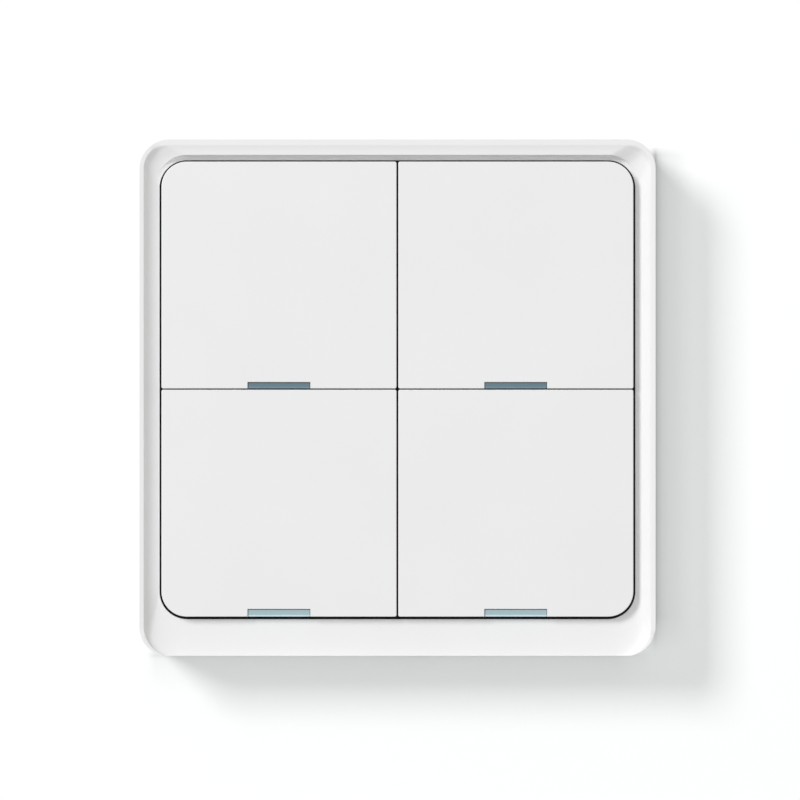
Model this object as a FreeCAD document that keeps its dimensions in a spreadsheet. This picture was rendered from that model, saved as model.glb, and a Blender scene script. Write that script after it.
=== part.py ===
import FreeCAD, Part
import math
import os
import re
import Sketcher

# Wireless scene switch for a wall: a front frame with four rocker keys over a carrier, a circuit
# board and a coin cell in a rear housing, which grips a wall plate.
# X is to the right and Z is up. The wall is the plane Y = 0, and the keys face -Y.
# A depth is a distance from the wall towards the room.

doc = FreeCAD.newDocument("scene_switch")

# Driving dimensions, in millimetres and degrees
driving_sizes = [
    # Frame
    ("frame_width", 86),
    ("frame_height", 86),
    ("frame_corner", 5),
    ("frame_wall", 1.6),
    ("frame_standoff", 0.5),
    ("frame_draft", 0.3),
    ("rim_width", 0.9),
    ("rim_edge", 0.25),
    ("cove_depth", 1.9),
    ("cove_ledge", 0.15),
    ("top_ledge", 0.8),
    ("ledge_corner", 5.8),
    ("step_corner", 7.5),
    ("chin_overrun", 0.2),
    ("chin_corner", 5.2),
    ("side_margin", 3.8),
    ("top_margin", 3.8),
    ("chin_height", 6.6),
    ("frame_gap", 0.3),
    ("chin_gap", 0.45),
    ("lip_thickness", 0.8),
    ("lip_relief", 1.2),
    ("clip_width", 6),
    ("clip_height", 1.2),
    ("clip_reach", 0.5),
    ("clip_rise", 2.5),
    ("clip_spread", 22),
    ("clip_clearance", 0.15),
    ("pry_width", 10.4),
    ("pry_height", 1.3),
    # Keys
    ("field_corner", 4.2),
    ("column_gap", 0.3),
    ("row_gap", 0.2),
    ("key_rise", 3.7),
    ("key_recess", 0.3),
    ("key_skin", 1.2),
    ("key_wall", 1.1),
    ("key_corner", 0.3),
    ("key_edge", 0.12),
    ("skirt_clearance", 0.9),
    ("pusher_radius", 1.5),
    ("pusher_round", 0.6),
    ("pusher_gap", 0.05),
    # Key hinges
    ("hinge_inset", 2.8),
    ("hinge_rise", 1),
    ("pin_radius", 0.7),
    ("pin_clearance", 0.05),
    ("bearing_wall", 0.45),
    ("bearing_width", 2.6),
    ("bearing_thickness", 1.6),
    ("arm_gap", 0.15),
    ("arm_thickness", 1.4),
    ("arm_width", 2.2),
    ("arm_clearance", 0.2),
    # Key latches
    ("latch_inset", 2.3),
    ("latch_spread", 12),
    ("latch_width", 3),
    ("latch_thickness", 0.9),
    ("latch_reach", 0.8),
    ("latch_head", 0.7),
    ("latch_gap", 0.1),
    ("latch_clearance", 0.25),
    # Light guides
    ("guide_width", 10.1),
    ("guide_height", 1.2),
    ("guide_gap", 0.15),
    ("guide_recess", 0.25),
    ("guide_fit", 0.05),
    ("guide_edge", 0.12),
    ("ear_reach", 0.8),
    ("ear_width", 1.8),
    ("ear_height", 0.5),
    ("light_gap", 0.1),
    # Carrier
    ("carrier_thickness", 1.6),
    ("window_margin", 0.45),
    # Circuit board
    ("board_margin", 5.3),
    ("board_corner", 2),
    ("board_thickness", 1),
    ("board_standoff", 0.8),
    # Tact switches
    ("switch_lever", 16),
    ("switch_width", 4.6),
    ("switch_body", 0.8),
    ("switch_floor", 0.25),
    ("switch_recess", 1.9),
    ("cover_thickness", 0.15),
    ("cover_hole", 1.15),
    ("plunger_radius", 1),
    ("plunger_edge", 0.15),
    ("plunger_rise", 0.45),
    ("plunger_travel", 0.25),
    ("flange_radius", 1.6),
    ("flange_height", 0.2),
    ("flange_gap", 0.05),
    ("dome_radius", 1.75),
    ("dome_crown", 0.8),
    ("dome_sheet", 0.06),
    # Light-emitting chips
    ("chip_length", 1.6),
    ("chip_width", 0.8),
    ("chip_height", 0.6),
    # Rear housing
    ("housing_clearance", 0.15),
    ("housing_wall", 1.4),
    ("housing_floor", 1.2),
    ("bay_depth", 3.7),
    ("bay_clearance", 0.3),
    ("head_window_length", 12),
    ("head_window_width", 9),
    ("head_window_corner", 4),
    # Screws
    ("screw_spread", 34),
    ("screw_rise", 27),
    ("screw_radius", 0.95),
    ("screw_fit", 0.05),
    ("screw_bore", 1.15),
    ("screw_head_radius", 1.9),
    ("screw_head_height", 1.3),
    ("screw_head_gap", 0.2),
    ("screw_tip_gap", 0.2),
    ("screw_end_wall", 0.7),
    ("driver_width", 0.5),
    ("driver_length", 2),
    ("driver_depth", 0.7),
    ("post_radius", 3),
    ("boss_radius", 2.4),
    # Wall plate
    ("plate_thickness", 1.8),
    ("plate_clearance", 0.4),
    ("plate_corner", 3),
    ("unit_gap", 0.1),
    ("mount_spacing", 60),
    ("mount_slot_length", 8),
    ("mount_slot_width", 4.2),
    ("tongue_inset", 4.4),
    ("tongue_width", 10),
    ("tongue_thickness", 1.2),
    ("tongue_length", 3.3),
    ("tongue_fit", 0.08),
    # Adhesive pads
    ("foam_width", 58),
    ("foam_height", 15),
    ("foam_offset", 24),
    ("foam_thickness", 0.8),
    ("foam_clearance", 0.2),
    # Coin cell and its holder
    ("battery_drop", 17),
    ("cell_radius", 12.25),
    ("cell_thickness", 3),
    ("cell_inset", 0.15),
    ("cell_cap_radius", 10.2),
    ("cell_cap_height", 0.25),
    ("cell_edge", 0.35),
    ("cell_fit", 0.15),
    ("holder_wall", 1.3),
    ("holder_floor", 0.3),
    ("holder_rise", 3),
    ("holder_window", 8.4),
    ("holder_gap", 6.4),
    ("thumb_width", 10),
    ("thumb_depth", 1.4),
    ("contact_sheet", 0.15),
    ("contact_width", 5),
    ("contact_gap", 0.05),
    ("contact_foot", 3.4),
    ("contact_height", 2.5),
    ("leaf_length", 7),
    ("leaf_foot", 2.5),
    # Radio module
    ("radio_width", 15),
    ("radio_length", 22),
    ("radio_thickness", 0.6),
    ("radio_inset", 6.7),
    ("shield_width", 12.6),
    ("shield_length", 13),
    ("shield_height", 1.3),
    ("shield_sheet", 0.2),
    ("shield_margin", 1.2),
    ("antenna_length", 7),
    ("antenna_width", 2),
    ("antenna_height", 0.9),
    ("antenna_margin", 1.5),
    # Storage capacitors
    ("capacitor_length", 3.2),
    ("capacitor_width", 1.6),
    ("capacitor_height", 1.6),
    ("capacitor_offset", 20),
    ("capacitor_rise", 7),
    ("capacitor_pitch", 3),
]
capacitor_count = 3
cove_shares = (0, 0.12, 0.24, 0.4, 0.55, 0.7, 0.8, 0.9, 1)
dish_share = 0.24

sheet = doc.addObject("Spreadsheet::Sheet", "sizes")
for line, (alias, number) in enumerate(driving_sizes, start=1):
    sheet.set(f"A{line}", alias)
    sheet.set(f"B{line}", str(number))
    sheet.setAlias(f"B{line}", alias)
doc.recompute()

# Places and sizes that follow from the driving dimensions
aliases = {alias for alias, number in driving_sizes}
layout = {
    # Depths from the wall, from the back forwards
    "housing_back": "plate_thickness + unit_gap",
    "housing_inside": "housing_back + housing_floor",
    "board_back": "housing_back + bay_depth",
    "board_front": "board_back + board_thickness",
    "carrier_back": "board_front + board_standoff",
    "carrier_front": "carrier_back + carrier_thickness",
    "key_front": "carrier_front + key_rise",
    "key_under": "key_front - key_skin",
    "skirt_end": "carrier_front + skirt_clearance",
    "rim_front": "key_front + key_recess",
    "hinge_depth": "carrier_front + hinge_rise",
    "switch_floor_front": "board_front + switch_floor",
    "switch_body_front": "board_front + switch_body",
    "cover_front": "switch_body_front + cover_thickness",
    "plunger_front": "cover_front + plunger_rise",
    "flange_front": "switch_body_front - flange_gap",
    "plunger_back": "flange_front - flange_height",
    "dome_front": "plunger_back - flange_gap",
    "chip_front": "board_front + chip_height",
    "guide_back": "chip_front + light_gap",
    "guide_front": "key_front - guide_recess",
    "screw_seat": "housing_back + screw_head_height + screw_head_gap",
    "pilot_front": "carrier_front - screw_end_wall",
    "cell_back": "housing_back + cell_inset",
    "cell_front": "cell_back + cell_thickness",
    "holder_back": "board_back - holder_rise",
    # Outlines seen from the front
    "frame_right": "frame_width / 2",
    "frame_top": "frame_height / 2",
    "cavity_right": "frame_right - frame_wall",
    "cavity_top": "frame_top - frame_wall",
    "cavity_corner": "frame_corner - frame_wall",
    "housing_right": "cavity_right - housing_clearance",
    "housing_top": "cavity_top - housing_clearance",
    "housing_corner": "cavity_corner - housing_clearance",
    "plate_right": "cavity_right - plate_clearance",
    "plate_top": "cavity_top - plate_clearance",
    "board_right": "frame_right - board_margin",
    "board_top": "frame_top - board_margin",
    "field_right": "frame_right - side_margin",
    "field_top": "frame_top - top_margin",
    "field_bottom": "chin_height - frame_top",
    "key_height": "(field_top - field_bottom - row_gap) / 2",
    "key_width": "field_right - column_gap / 2",
    "key_centre": "(field_right + column_gap / 2) / 2",
    "tongue_right": "housing_right - tongue_inset",
    "tongue_top": "housing_top - tongue_inset",
    "mount_right": "mount_spacing / 2",
    "holder_radius": "cell_radius + cell_fit + holder_wall",
    # Key rows
    "upper_key_top": "field_top",
    "upper_key_bottom": "field_top - key_height",
    "lower_key_top": "field_bottom + key_height",
    "lower_key_bottom": "field_bottom",
    "upper_hinge": "upper_key_top - hinge_inset",
    "lower_hinge": "lower_key_top - hinge_inset",
    "upper_switch": "upper_hinge - switch_lever",
    "lower_switch": "lower_hinge - switch_lever",
    "upper_guide": "upper_key_bottom + guide_height / 2",
    "lower_guide": "lower_key_bottom + guide_height / 2",
    "upper_latch": "upper_key_bottom + latch_inset",
    "lower_latch": "lower_key_bottom + latch_inset",
}
rows = ("upper", "lower")
columns = {"left": -1, "right": 1}
both_sides = (-1, 1)


def expand(formula):
    """Writes a formula out in cells of the sheet."""
    def swap(match):
        word = match.group()
        if word in layout:
            return "(" + expand(layout[word]) + ")"
        return "sizes." + word if word in aliases else word
    return re.sub(r"[a-z]\w+", swap, formula)


def number_of(formula):
    return float(sheet.evalExpression(expand(formula)))


# Sketch helpers
nodes = []


def new_body(name):
    body = doc.addObject("PartDesign::Body", name)
    body.Label = name
    nodes.append(body)
    return body


def new_sketch(body, name, plane_role, offset):
    plane = next(f for f in body.Origin.OriginFeatures if f.Role == plane_role)
    sketch = body.newObject("Sketcher::SketchObject", name)
    sketch.AttachmentSupport = [(plane, "")]
    sketch.MapMode = "FlatFace"
    for axis, formula in offset.items():
        sketch.setExpression("AttachmentOffset.Base." + axis, expand(formula))
    return sketch


def bind(sketch, kind, places, formula):
    index = sketch.addConstraint(Sketcher.Constraint(kind, *places, number_of(formula)))
    sketch.setExpression(f"Constraints[{index}]", expand(formula))


def add_polygon(sketch, points):
    """Draws a closed outline of straight lines through points given as formulas."""
    corners = [FreeCAD.Vector(number_of(a), number_of(b), 0) for a, b in points]
    count = len(points)
    first = sketch.GeometryCount
    for i in range(count):
        sketch.addGeometry(Part.LineSegment(corners[i], corners[(i + 1) % count]), False)
    for i, (a, b) in enumerate(points):
        line = first + i
        sketch.addConstraint(Sketcher.Constraint("Coincident", line, 2, first + (i + 1) % count, 1))
        bind(sketch, "DistanceX", (-1, 1, line, 1), a)
        bind(sketch, "DistanceY", (-1, 1, line, 1), b)


def add_box(sketch, left, right, bottom, top):
    add_polygon(sketch, [(left, bottom), (right, bottom), (right, top), (left, top)])


def add_centred_box(sketch, x, z, width, height):
    add_box(sketch, f"{x} - ({width}) / 2", f"{x} + ({width}) / 2",
            f"{z} - ({height}) / 2", f"{z} + ({height}) / 2")


def add_rounded_box(sketch, left, right, bottom, top, radii):
    """Draws a box whose four corners, from the lower left one round, have radii of their own."""
    radii = [radii] * 4 if isinstance(radii, str) else radii
    x0, x1, z0, z1 = (number_of(f) for f in (left, right, bottom, top))
    r = [number_of(f) for f in radii]
    normal = FreeCAD.Vector(0, 0, 1)
    ends = [((x0 + r[0], z0), (x1 - r[1], z0)), ((x1, z0 + r[1]), (x1, z1 - r[2])),
            ((x1 - r[2], z1), (x0 + r[3], z1)), ((x0, z1 - r[3]), (x0, z0 + r[0]))]
    lines = [sketch.addGeometry(Part.LineSegment(FreeCAD.Vector(*a, 0), FreeCAD.Vector(*b, 0)), False)
             for a, b in ends]
    centres = [(x0 + r[0], z0 + r[0]), (x1 - r[1], z0 + r[1]),
               (x1 - r[2], z1 - r[2]), (x0 + r[3], z1 - r[3])]
    for i, centre in enumerate(centres):
        start = math.pi + i * math.pi / 2
        circle = Part.Circle(FreeCAD.Vector(*centre, 0), normal, r[i])
        arc = sketch.addGeometry(Part.ArcOfCircle(circle, start, start + math.pi / 2), False)
        sketch.addConstraint(Sketcher.Constraint("Tangent", lines[i - 1], 2, arc, 1))
        sketch.addConstraint(Sketcher.Constraint("Tangent", arc, 2, lines[i], 1))
        bind(sketch, "Radius", (arc,), radii[i])
    for line, kind in zip(lines, ("Horizontal", "Vertical", "Horizontal", "Vertical")):
        sketch.addConstraint(Sketcher.Constraint(kind, line))
    bind(sketch, "DistanceY", (-1, 1, lines[0], 1), bottom)
    bind(sketch, "DistanceX", (-1, 1, lines[1], 1), right)
    bind(sketch, "DistanceY", (-1, 1, lines[2], 1), top)
    bind(sketch, "DistanceX", (-1, 1, lines[3], 1), left)


def add_slot(sketch, x, z, length, width):
    """Draws a slot with round ends that runs along X."""
    radius = number_of(width) / 2
    cx, cz = number_of(x), number_of(z)
    reach = number_of(length) / 2 - radius
    normal = FreeCAD.Vector(0, 0, 1)
    low = sketch.addGeometry(Part.LineSegment(FreeCAD.Vector(cx - reach, cz - radius, 0),
                                              FreeCAD.Vector(cx + reach, cz - radius, 0)), False)
    high = sketch.addGeometry(Part.LineSegment(FreeCAD.Vector(cx + reach, cz + radius, 0),
                                               FreeCAD.Vector(cx - reach, cz + radius, 0)), False)
    circle = Part.Circle(FreeCAD.Vector(cx + reach, cz, 0), normal, radius)
    right = sketch.addGeometry(Part.ArcOfCircle(circle, -math.pi / 2, math.pi / 2), False)
    circle = Part.Circle(FreeCAD.Vector(cx - reach, cz, 0), normal, radius)
    left = sketch.addGeometry(Part.ArcOfCircle(circle, math.pi / 2, 3 * math.pi / 2), False)
    for a, b in ((low, right), (right, high), (high, left), (left, low)):
        sketch.addConstraint(Sketcher.Constraint("Tangent", a, 2, b, 1))
    sketch.addConstraint(Sketcher.Constraint("Horizontal", low))
    sketch.addConstraint(Sketcher.Constraint("Equal", left, right))
    bind(sketch, "Radius", (right,), f"({width}) / 2")
    bind(sketch, "DistanceX", (-1, 1, right, 3), f"{x} + (({length}) - ({width})) / 2")
    bind(sketch, "DistanceX", (-1, 1, left, 3), f"{x} - (({length}) - ({width})) / 2")
    bind(sketch, "DistanceY", (-1, 1, right, 3), z)


def add_circle(sketch, x, z, radius):
    centre = FreeCAD.Vector(number_of(x), number_of(z), 0)
    circle = sketch.addGeometry(
        Part.Circle(centre, FreeCAD.Vector(0, 0, 1), number_of(radius)), False)
    bind(sketch, "Radius", (circle,), radius)
    bind(sketch, "DistanceX", (-1, 1, circle, 3), x)
    bind(sketch, "DistanceY", (-1, 1, circle, 3), z)


# Feature helpers: each works from one depth to another
def add_pad(body, name, back, front, draw, draft=None):
    sketch = new_sketch(body, name + "_sketch", "XZ_Plane", {"z": back})
    draw(sketch)
    pad = body.newObject("PartDesign::Pad", name)
    pad.Profile = sketch
    pad.setExpression("Length", expand(f"{front} - ({back})"))
    if draft:
        pad.setExpression("TaperAngle", expand(f"-{draft}"))
    return pad


def add_pocket(body, name, back, front, draw):
    sketch = new_sketch(body, name + "_sketch", "XZ_Plane", {"z": front})
    draw(sketch)
    pocket = body.newObject("PartDesign::Pocket", name)
    pocket.Profile = sketch
    pocket.setExpression("Length", expand(f"{front} - ({back})"))
    return pocket


def add_turned(body, name, x, z, points):
    """Turns an outline of radius and depth pairs about a line square to the wall."""
    sketch = new_sketch(body, name + "_sketch", "XY_Plane", {"x": x, "z": z})
    add_polygon(sketch, [(radius, f"-({depth})") for radius, depth in points])
    turned = body.newObject("PartDesign::Revolution", name)
    turned.Profile = sketch
    turned.ReferenceAxis = (sketch, ["V_Axis"])
    return turned


def round_edges(body, name, radius, choose):
    doc.recompute()
    base = body.Tip
    chosen = [f"Edge{i}" for i, edge in enumerate(base.Shape.Edges, start=1) if choose(edge)]
    fillet = body.newObject("PartDesign::Fillet", name)
    fillet.Base = (base, chosen)
    fillet.setExpression("Radius", expand(radius))
    return fillet


def lies_at(formula):
    """Tells whether an edge lies wholly at one depth."""
    depth = number_of(formula)
    return lambda edge: max(abs(-v.Point.y - depth) for v in edge.Vertexes) < 1e-4


# Wall plate
def draw_foam(clearance):
    def draw(sketch):
        for side in both_sides:
            add_centred_box(sketch, "0", f"{side} * foam_offset",
                            f"foam_width - 2 * {clearance}", f"foam_height - 2 * {clearance}")
    return draw


def draw_tongues(clearance):
    def draw(sketch):
        across = f"tongue_thickness + 2 * {clearance}"
        along = f"tongue_width + 2 * {clearance}"
        for side in both_sides:
            add_centred_box(sketch, f"{side} * tongue_right", "0", across, along)
            add_centred_box(sketch, "0", f"{side} * tongue_top", along, across)
    return draw


def draw_mount_slots(sketch):
    for side in both_sides:
        add_slot(sketch, f"{side} * mount_right", "0", "mount_slot_length", "mount_slot_width")


def make_wall_plate():
    body = new_body("wall_plate")
    add_pad(body, "plate", "0", "plate_thickness",
            lambda s: add_rounded_box(s, "-plate_right", "plate_right", "-plate_top", "plate_top",
                                      "plate_corner"))
    add_pad(body, "tongues", "plate_thickness", "plate_thickness + tongue_length", draw_tongues("0"))
    add_pocket(body, "foam_recesses", "0", "foam_thickness", draw_foam("0"))
    add_pocket(body, "mount_slots", "0", "plate_thickness", draw_mount_slots)


def make_adhesive_pads():
    body = new_body("adhesive_pads")
    add_pad(body, "foam", "0", "foam_thickness", draw_foam("foam_clearance"))


# Rear housing
def draw_at_screws(radius):
    def draw(sketch):
        for across in both_sides:
            for up in both_sides:
                add_circle(sketch, f"{across} * screw_spread", f"{up} * screw_rise", radius)
    return draw


def draw_clips(inner, outer, width):
    """Draws the clip boxes between two distances inside the frame's cavity wall."""
    def draw(sketch):
        for across in both_sides:
            for along in both_sides:
                x = sorted((f"{across} * (cavity_right - {inner})",
                            f"{across} * (cavity_right - {outer})"), key=number_of)
                z = sorted((f"{across} * (cavity_top - {inner})",
                            f"{across} * (cavity_top - {outer})"), key=number_of)
                middle = f"{along} * clip_spread"
                add_box(sketch, *x, f"{middle} - {width} / 2", f"{middle} + {width} / 2")
                add_box(sketch, f"{middle} - {width} / 2", f"{middle} + {width} / 2", *z)
    return draw


def make_rear_housing():
    body = new_body("rear_housing")
    add_pad(body, "shell", "housing_back", "carrier_back",
            lambda s: add_rounded_box(s, "-housing_right", "housing_right",
                                      "-housing_top", "housing_top", "housing_corner"))
    inside = ("-housing_right + housing_wall", "housing_right - housing_wall",
              "-housing_top + housing_wall", "housing_top - housing_wall")
    add_pocket(body, "inside", "housing_inside", "carrier_back",
               lambda s: add_rounded_box(s, *inside, "housing_corner - housing_wall"))
    add_pad(body, "posts", "housing_inside", "board_back", draw_at_screws("post_radius"))
    add_pocket(body, "screw_bores", "screw_seat", "board_back", draw_at_screws("screw_bore"))
    add_pocket(body, "head_bores", "housing_back", "screw_seat",
               draw_at_screws("screw_head_radius + screw_head_gap"))
    add_pocket(body, "battery_window", "housing_back", "housing_inside",
               lambda s: add_circle(s, "0", "-battery_drop", "holder_radius + bay_clearance"))

    def draw_head_windows(sketch):
        for side in both_sides:
            x = f"{side} * mount_right"
            add_rounded_box(sketch, f"{x} - head_window_length / 2", f"{x} + head_window_length / 2",
                            "-head_window_width / 2", "head_window_width / 2",
                            "head_window_corner")
    add_pocket(body, "head_windows", "housing_back", "housing_inside", draw_head_windows)
    add_pocket(body, "tongue_slots", "housing_back", "housing_inside", draw_tongues("tongue_fit"))
    low = "housing_back + clip_rise"
    add_pocket(body, "clip_windows", f"{low} - clip_clearance",
               f"{low} + clip_height + clip_clearance",
               draw_clips("0", "(housing_clearance + housing_wall + clip_clearance)",
                          "(clip_width + 2 * clip_clearance)"))


def make_housing_screws():
    body = new_body("housing_screws")
    head_back = "screw_seat - screw_head_height"
    add_pad(body, "heads", head_back, "screw_seat", draw_at_screws("screw_head_radius"))
    add_pad(body, "shanks", "screw_seat", "pilot_front - screw_tip_gap",
            draw_at_screws("screw_radius"))

    def draw_cross(sketch, wide, high):
        for across in both_sides:
            for up in both_sides:
                add_centred_box(sketch, f"{across} * screw_spread", f"{up} * screw_rise", wide, high)
    for name, wide, high in (("driver_slot", "driver_length", "driver_width"),
                             ("driver_cross", "driver_width", "driver_length")):
        add_pocket(body, name, head_back, f"{head_back} + driver_depth",
                   lambda s: draw_cross(s, wide, high))


# Front frame
def make_front_frame():
    body = new_body("front_frame")
    add_pad(body, "block", "frame_standoff", "rim_front",
            lambda s: add_rounded_box(s, "-frame_right", "frame_right", "-frame_top", "frame_top",
                                      "frame_corner"), draft="frame_draft")
    round_edges(body, "rim_round", "rim_edge", lies_at("rim_front"))
    add_pocket(body, "cavity", "frame_standoff", "carrier_front",
               lambda s: add_rounded_box(s, "-cavity_right", "cavity_right",
                                         "-cavity_top", "cavity_top", "cavity_corner"))

    def draw_window(margin):
        return lambda s: add_rounded_box(
            s, f"-field_right - frame_gap - {margin}", f"field_right + frame_gap + {margin}",
            f"field_bottom - chin_gap - {margin}", f"field_top + frame_gap + {margin}",
            f"field_corner + frame_gap + {margin}")
    add_pocket(body, "lip_hollow", "frame_standoff", "rim_front - cove_depth - lip_thickness",
               draw_window("lip_relief"))
    add_pocket(body, "window", "carrier_front - frame_standoff", "rim_front", draw_window("0"))
    add_cove(body)
    low = "housing_back + clip_rise"
    add_pad(body, "clips", low, f"{low} + clip_height",
            draw_clips("-frame_wall / 2", "clip_reach", "clip_width"))
    add_pocket(body, "pry_notch", "frame_standoff", "frame_standoff + pry_height",
               lambda s: add_box(s, "-pry_width / 2", "pry_width / 2",
                                 "-frame_top - frame_wall", "-cavity_top + housing_clearance / 2"))


def add_cove(body):
    """Cuts the cove: curved at the sides, a dish over a ledge at the top, a ramp out over the chin."""
    side_run = "(side_margin - (frame_gap + cove_ledge + rim_width))"
    top_run = "(top_margin - (frame_gap + top_ledge + rim_width))"
    chin_start = "(chin_gap + cove_ledge - field_bottom)"
    chin_run = f"(frame_top + chin_overrun - {chin_start})"
    low_growth = "(field_corner + frame_gap - chin_corner)"
    rim_corner = "(frame_corner - rim_width)"
    low_turn = "(ledge_corner - step_corner)"
    sections = []
    for step, deeper in enumerate(cove_shares):
        inward = round(deeper ** 2, 6)
        dished = round(1 - math.sqrt(max(0, 1 - deeper / dish_share)), 6)
        sketch = new_sketch(body, f"cove_sketch_{step}", "XZ_Plane",
                            {"z": f"rim_front - {deeper} * cove_depth"})
        side = f"frame_right - rim_width - {inward} * {side_run}"
        top = f"frame_top - rim_width - {dished} * {top_run}"
        chin = f"{chin_start} + {round(1 - deeper ** 4, 6)} * {chin_run}"
        low_corner = f"chin_corner + {inward} * {low_growth}"
        below = round(max(0, (deeper - dish_share) / (1 - dish_share)), 6)
        high_corner = f"{rim_corner} + {dished} * (step_corner - {rim_corner}) + {below} * {low_turn}"
        add_rounded_box(sketch, f"-({side})", side, f"-({chin})", top,
                        [low_corner, low_corner, high_corner, high_corner])
        sections.append(sketch)
    cove = body.newObject("PartDesign::SubtractiveLoft", "cove")
    cove.Profile = sections[0]
    cove.Sections = [(sketch, [""]) for sketch in sections[1:]]
    cove.Ruled = True


# Key carrier
def key_x(side):
    return f"{side} * key_centre"


def draw_at_latches(low, high, width):
    """Draws boxes at the latches, between two heights counted from the latch's middle."""
    def draw(sketch):
        for row in rows:
            for side in columns.values():
                for across in both_sides:
                    x = f"{key_x(side)} + {across} * latch_spread"
                    add_box(sketch, f"{x} - ({width}) / 2", f"{x} + ({width}) / 2",
                            f"{row}_latch + {low}", f"{row}_latch + {high}")
    return draw


def bearing_span(side, across):
    """Gives the left and right ends of a hinge bearing, clear of a key's round corner."""
    outer = f"{key_x(side)} + {across} * (key_width / 2 - field_corner)"
    inner = f"{outer} - {across} * bearing_thickness"
    return sorted((outer, inner), key=number_of)


def make_key_carrier():
    body = new_body("key_carrier")
    add_pad(body, "plate", "carrier_back", "carrier_front",
            lambda s: add_rounded_box(s, "-housing_right", "housing_right",
                                      "-housing_top", "housing_top", "housing_corner"))

    def draw_bearings(sketch):
        for row in rows:
            for side in columns.values():
                for across in both_sides:
                    left, right = bearing_span(side, across)
                    add_box(sketch, left, right, f"{row}_hinge - bearing_width / 2",
                            f"{row}_hinge + bearing_width / 2")
    bearing_front = "hinge_depth + pin_radius + pin_clearance + bearing_wall"
    add_pad(body, "bearings", "carrier_front", bearing_front, draw_bearings)
    sketch = new_sketch(body, "bore_sketch", "YZ_Plane", {"z": "-frame_right"})
    for row in rows:
        add_circle(sketch, "-hinge_depth", f"{row}_hinge", "pin_radius + pin_clearance")
    bores = body.newObject("PartDesign::Pocket", "pin_bores")
    bores.Profile = sketch
    bores.Reversed = True
    bores.setExpression("Length", expand("frame_width"))
    add_pad(body, "bosses", "board_front", "carrier_back", draw_at_screws("boss_radius"))
    add_pocket(body, "pilot_bores", "board_front", "pilot_front",
               draw_at_screws("screw_radius + screw_fit"))

    def draw_windows(sketch):
        for row in rows:
            for side in columns.values():
                add_centred_box(sketch, key_x(side), f"{row}_switch",
                                "switch_width + 2 * window_margin",
                                "switch_width + 2 * window_margin")
                add_centred_box(sketch, key_x(side), f"{row}_guide",
                                "guide_width + 2 * guide_fit", "guide_height + 2 * guide_fit")
    add_pocket(body, "windows", "carrier_back", "carrier_front", draw_windows)
    add_pocket(body, "latch_slots", "carrier_back", "carrier_front",
               draw_at_latches("(-latch_thickness / 2 - latch_clearance)",
                               "(latch_thickness / 2 + latch_clearance / 2)",
                               "latch_width + 2 * latch_clearance"))


# Keys
def make_key(row, column):
    side = columns[column]
    body = new_body(f"key_{row}_{column}")
    left, right = sorted((f"{side} * field_right", f"{side} * column_gap / 2"), key=number_of)
    bottom = f"{row}_key_bottom"
    top = f"{row}_key_top"
    outer_corner = {("lower", "left"): 0, ("lower", "right"): 1,
                    ("upper", "right"): 2, ("upper", "left"): 3}[row, column]
    radii = ["key_corner"] * 4
    radii[outer_corner] = "field_corner"
    add_pad(body, "cap", "skirt_end", "key_front",
            lambda s: add_rounded_box(s, left, right, bottom, top, radii))
    inner_radii = ["key_corner"] * 4
    inner_radii[outer_corner] = "field_corner - key_wall"
    add_pocket(body, "hollow", "skirt_end", "key_under",
               lambda s: add_rounded_box(s, f"{left} + key_wall", f"{right} - key_wall",
                                         f"{bottom} + key_wall", f"{top} - key_wall", inner_radii))
    x = key_x(side)
    notch_half = "guide_width / 2 + guide_gap"
    add_pad(body, "notch_wall", "skirt_end", "key_under",
            lambda s: add_box(s, f"{x} - ({notch_half} + key_wall)",
                              f"{x} + ({notch_half} + key_wall)", f"{bottom} + key_wall / 2",
                              f"{bottom} + guide_height + guide_gap + key_wall"))
    add_pocket(body, "notch", "skirt_end", "key_front",
               lambda s: add_box(s, f"{x} - ({notch_half})", f"{x} + ({notch_half})",
                                 f"{bottom} - guide_gap", f"{bottom} + guide_height + guide_gap"))
    round_edges(body, "face_round", "key_edge", lies_at("key_front"))
    add_hinge(body, row, side)
    add_pusher(body, row, x)
    add_latches(body, row, x)


def add_hinge(body, row, side):
    """Adds the two arms and their pins, which turn in the carrier's bearings."""
    spans = [bearing_span(side, across) for across in both_sides]
    arms = [(f"{spans[0][1]} + arm_gap", f"{spans[0][1]} + arm_gap + arm_thickness"),
            (f"{spans[1][0]} - arm_gap - arm_thickness", f"{spans[1][0]} - arm_gap")]

    def draw_arms(sketch):
        for left, right in arms:
            add_box(sketch, left, right, f"{row}_hinge - arm_width / 2", f"{row}_hinge + arm_width / 2")
    add_pad(body, "arms", "carrier_front + arm_clearance", "key_under", draw_arms)
    pins = [(f"{spans[0][0]} + arm_gap", arms[0][0]), (arms[1][1], f"{spans[1][1]} - arm_gap")]
    for name, (left, right) in zip(("left_pin", "right_pin"), pins):
        sketch = new_sketch(body, name + "_sketch", "YZ_Plane", {"z": left})
        add_circle(sketch, "-hinge_depth", f"{row}_hinge", "pin_radius")
        pin = body.newObject("PartDesign::Pad", name)
        pin.Profile = sketch
        pin.setExpression("Length", expand(f"{right} - ({left})"))


def add_pusher(body, row, x):
    tip = "plunger_front + pusher_gap"
    add_pad(body, "pusher", tip, "key_under",
            lambda s: add_circle(s, x, f"{row}_switch", "pusher_radius"))
    round_edges(body, "pusher_tip", "pusher_round", lies_at(tip))


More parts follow.
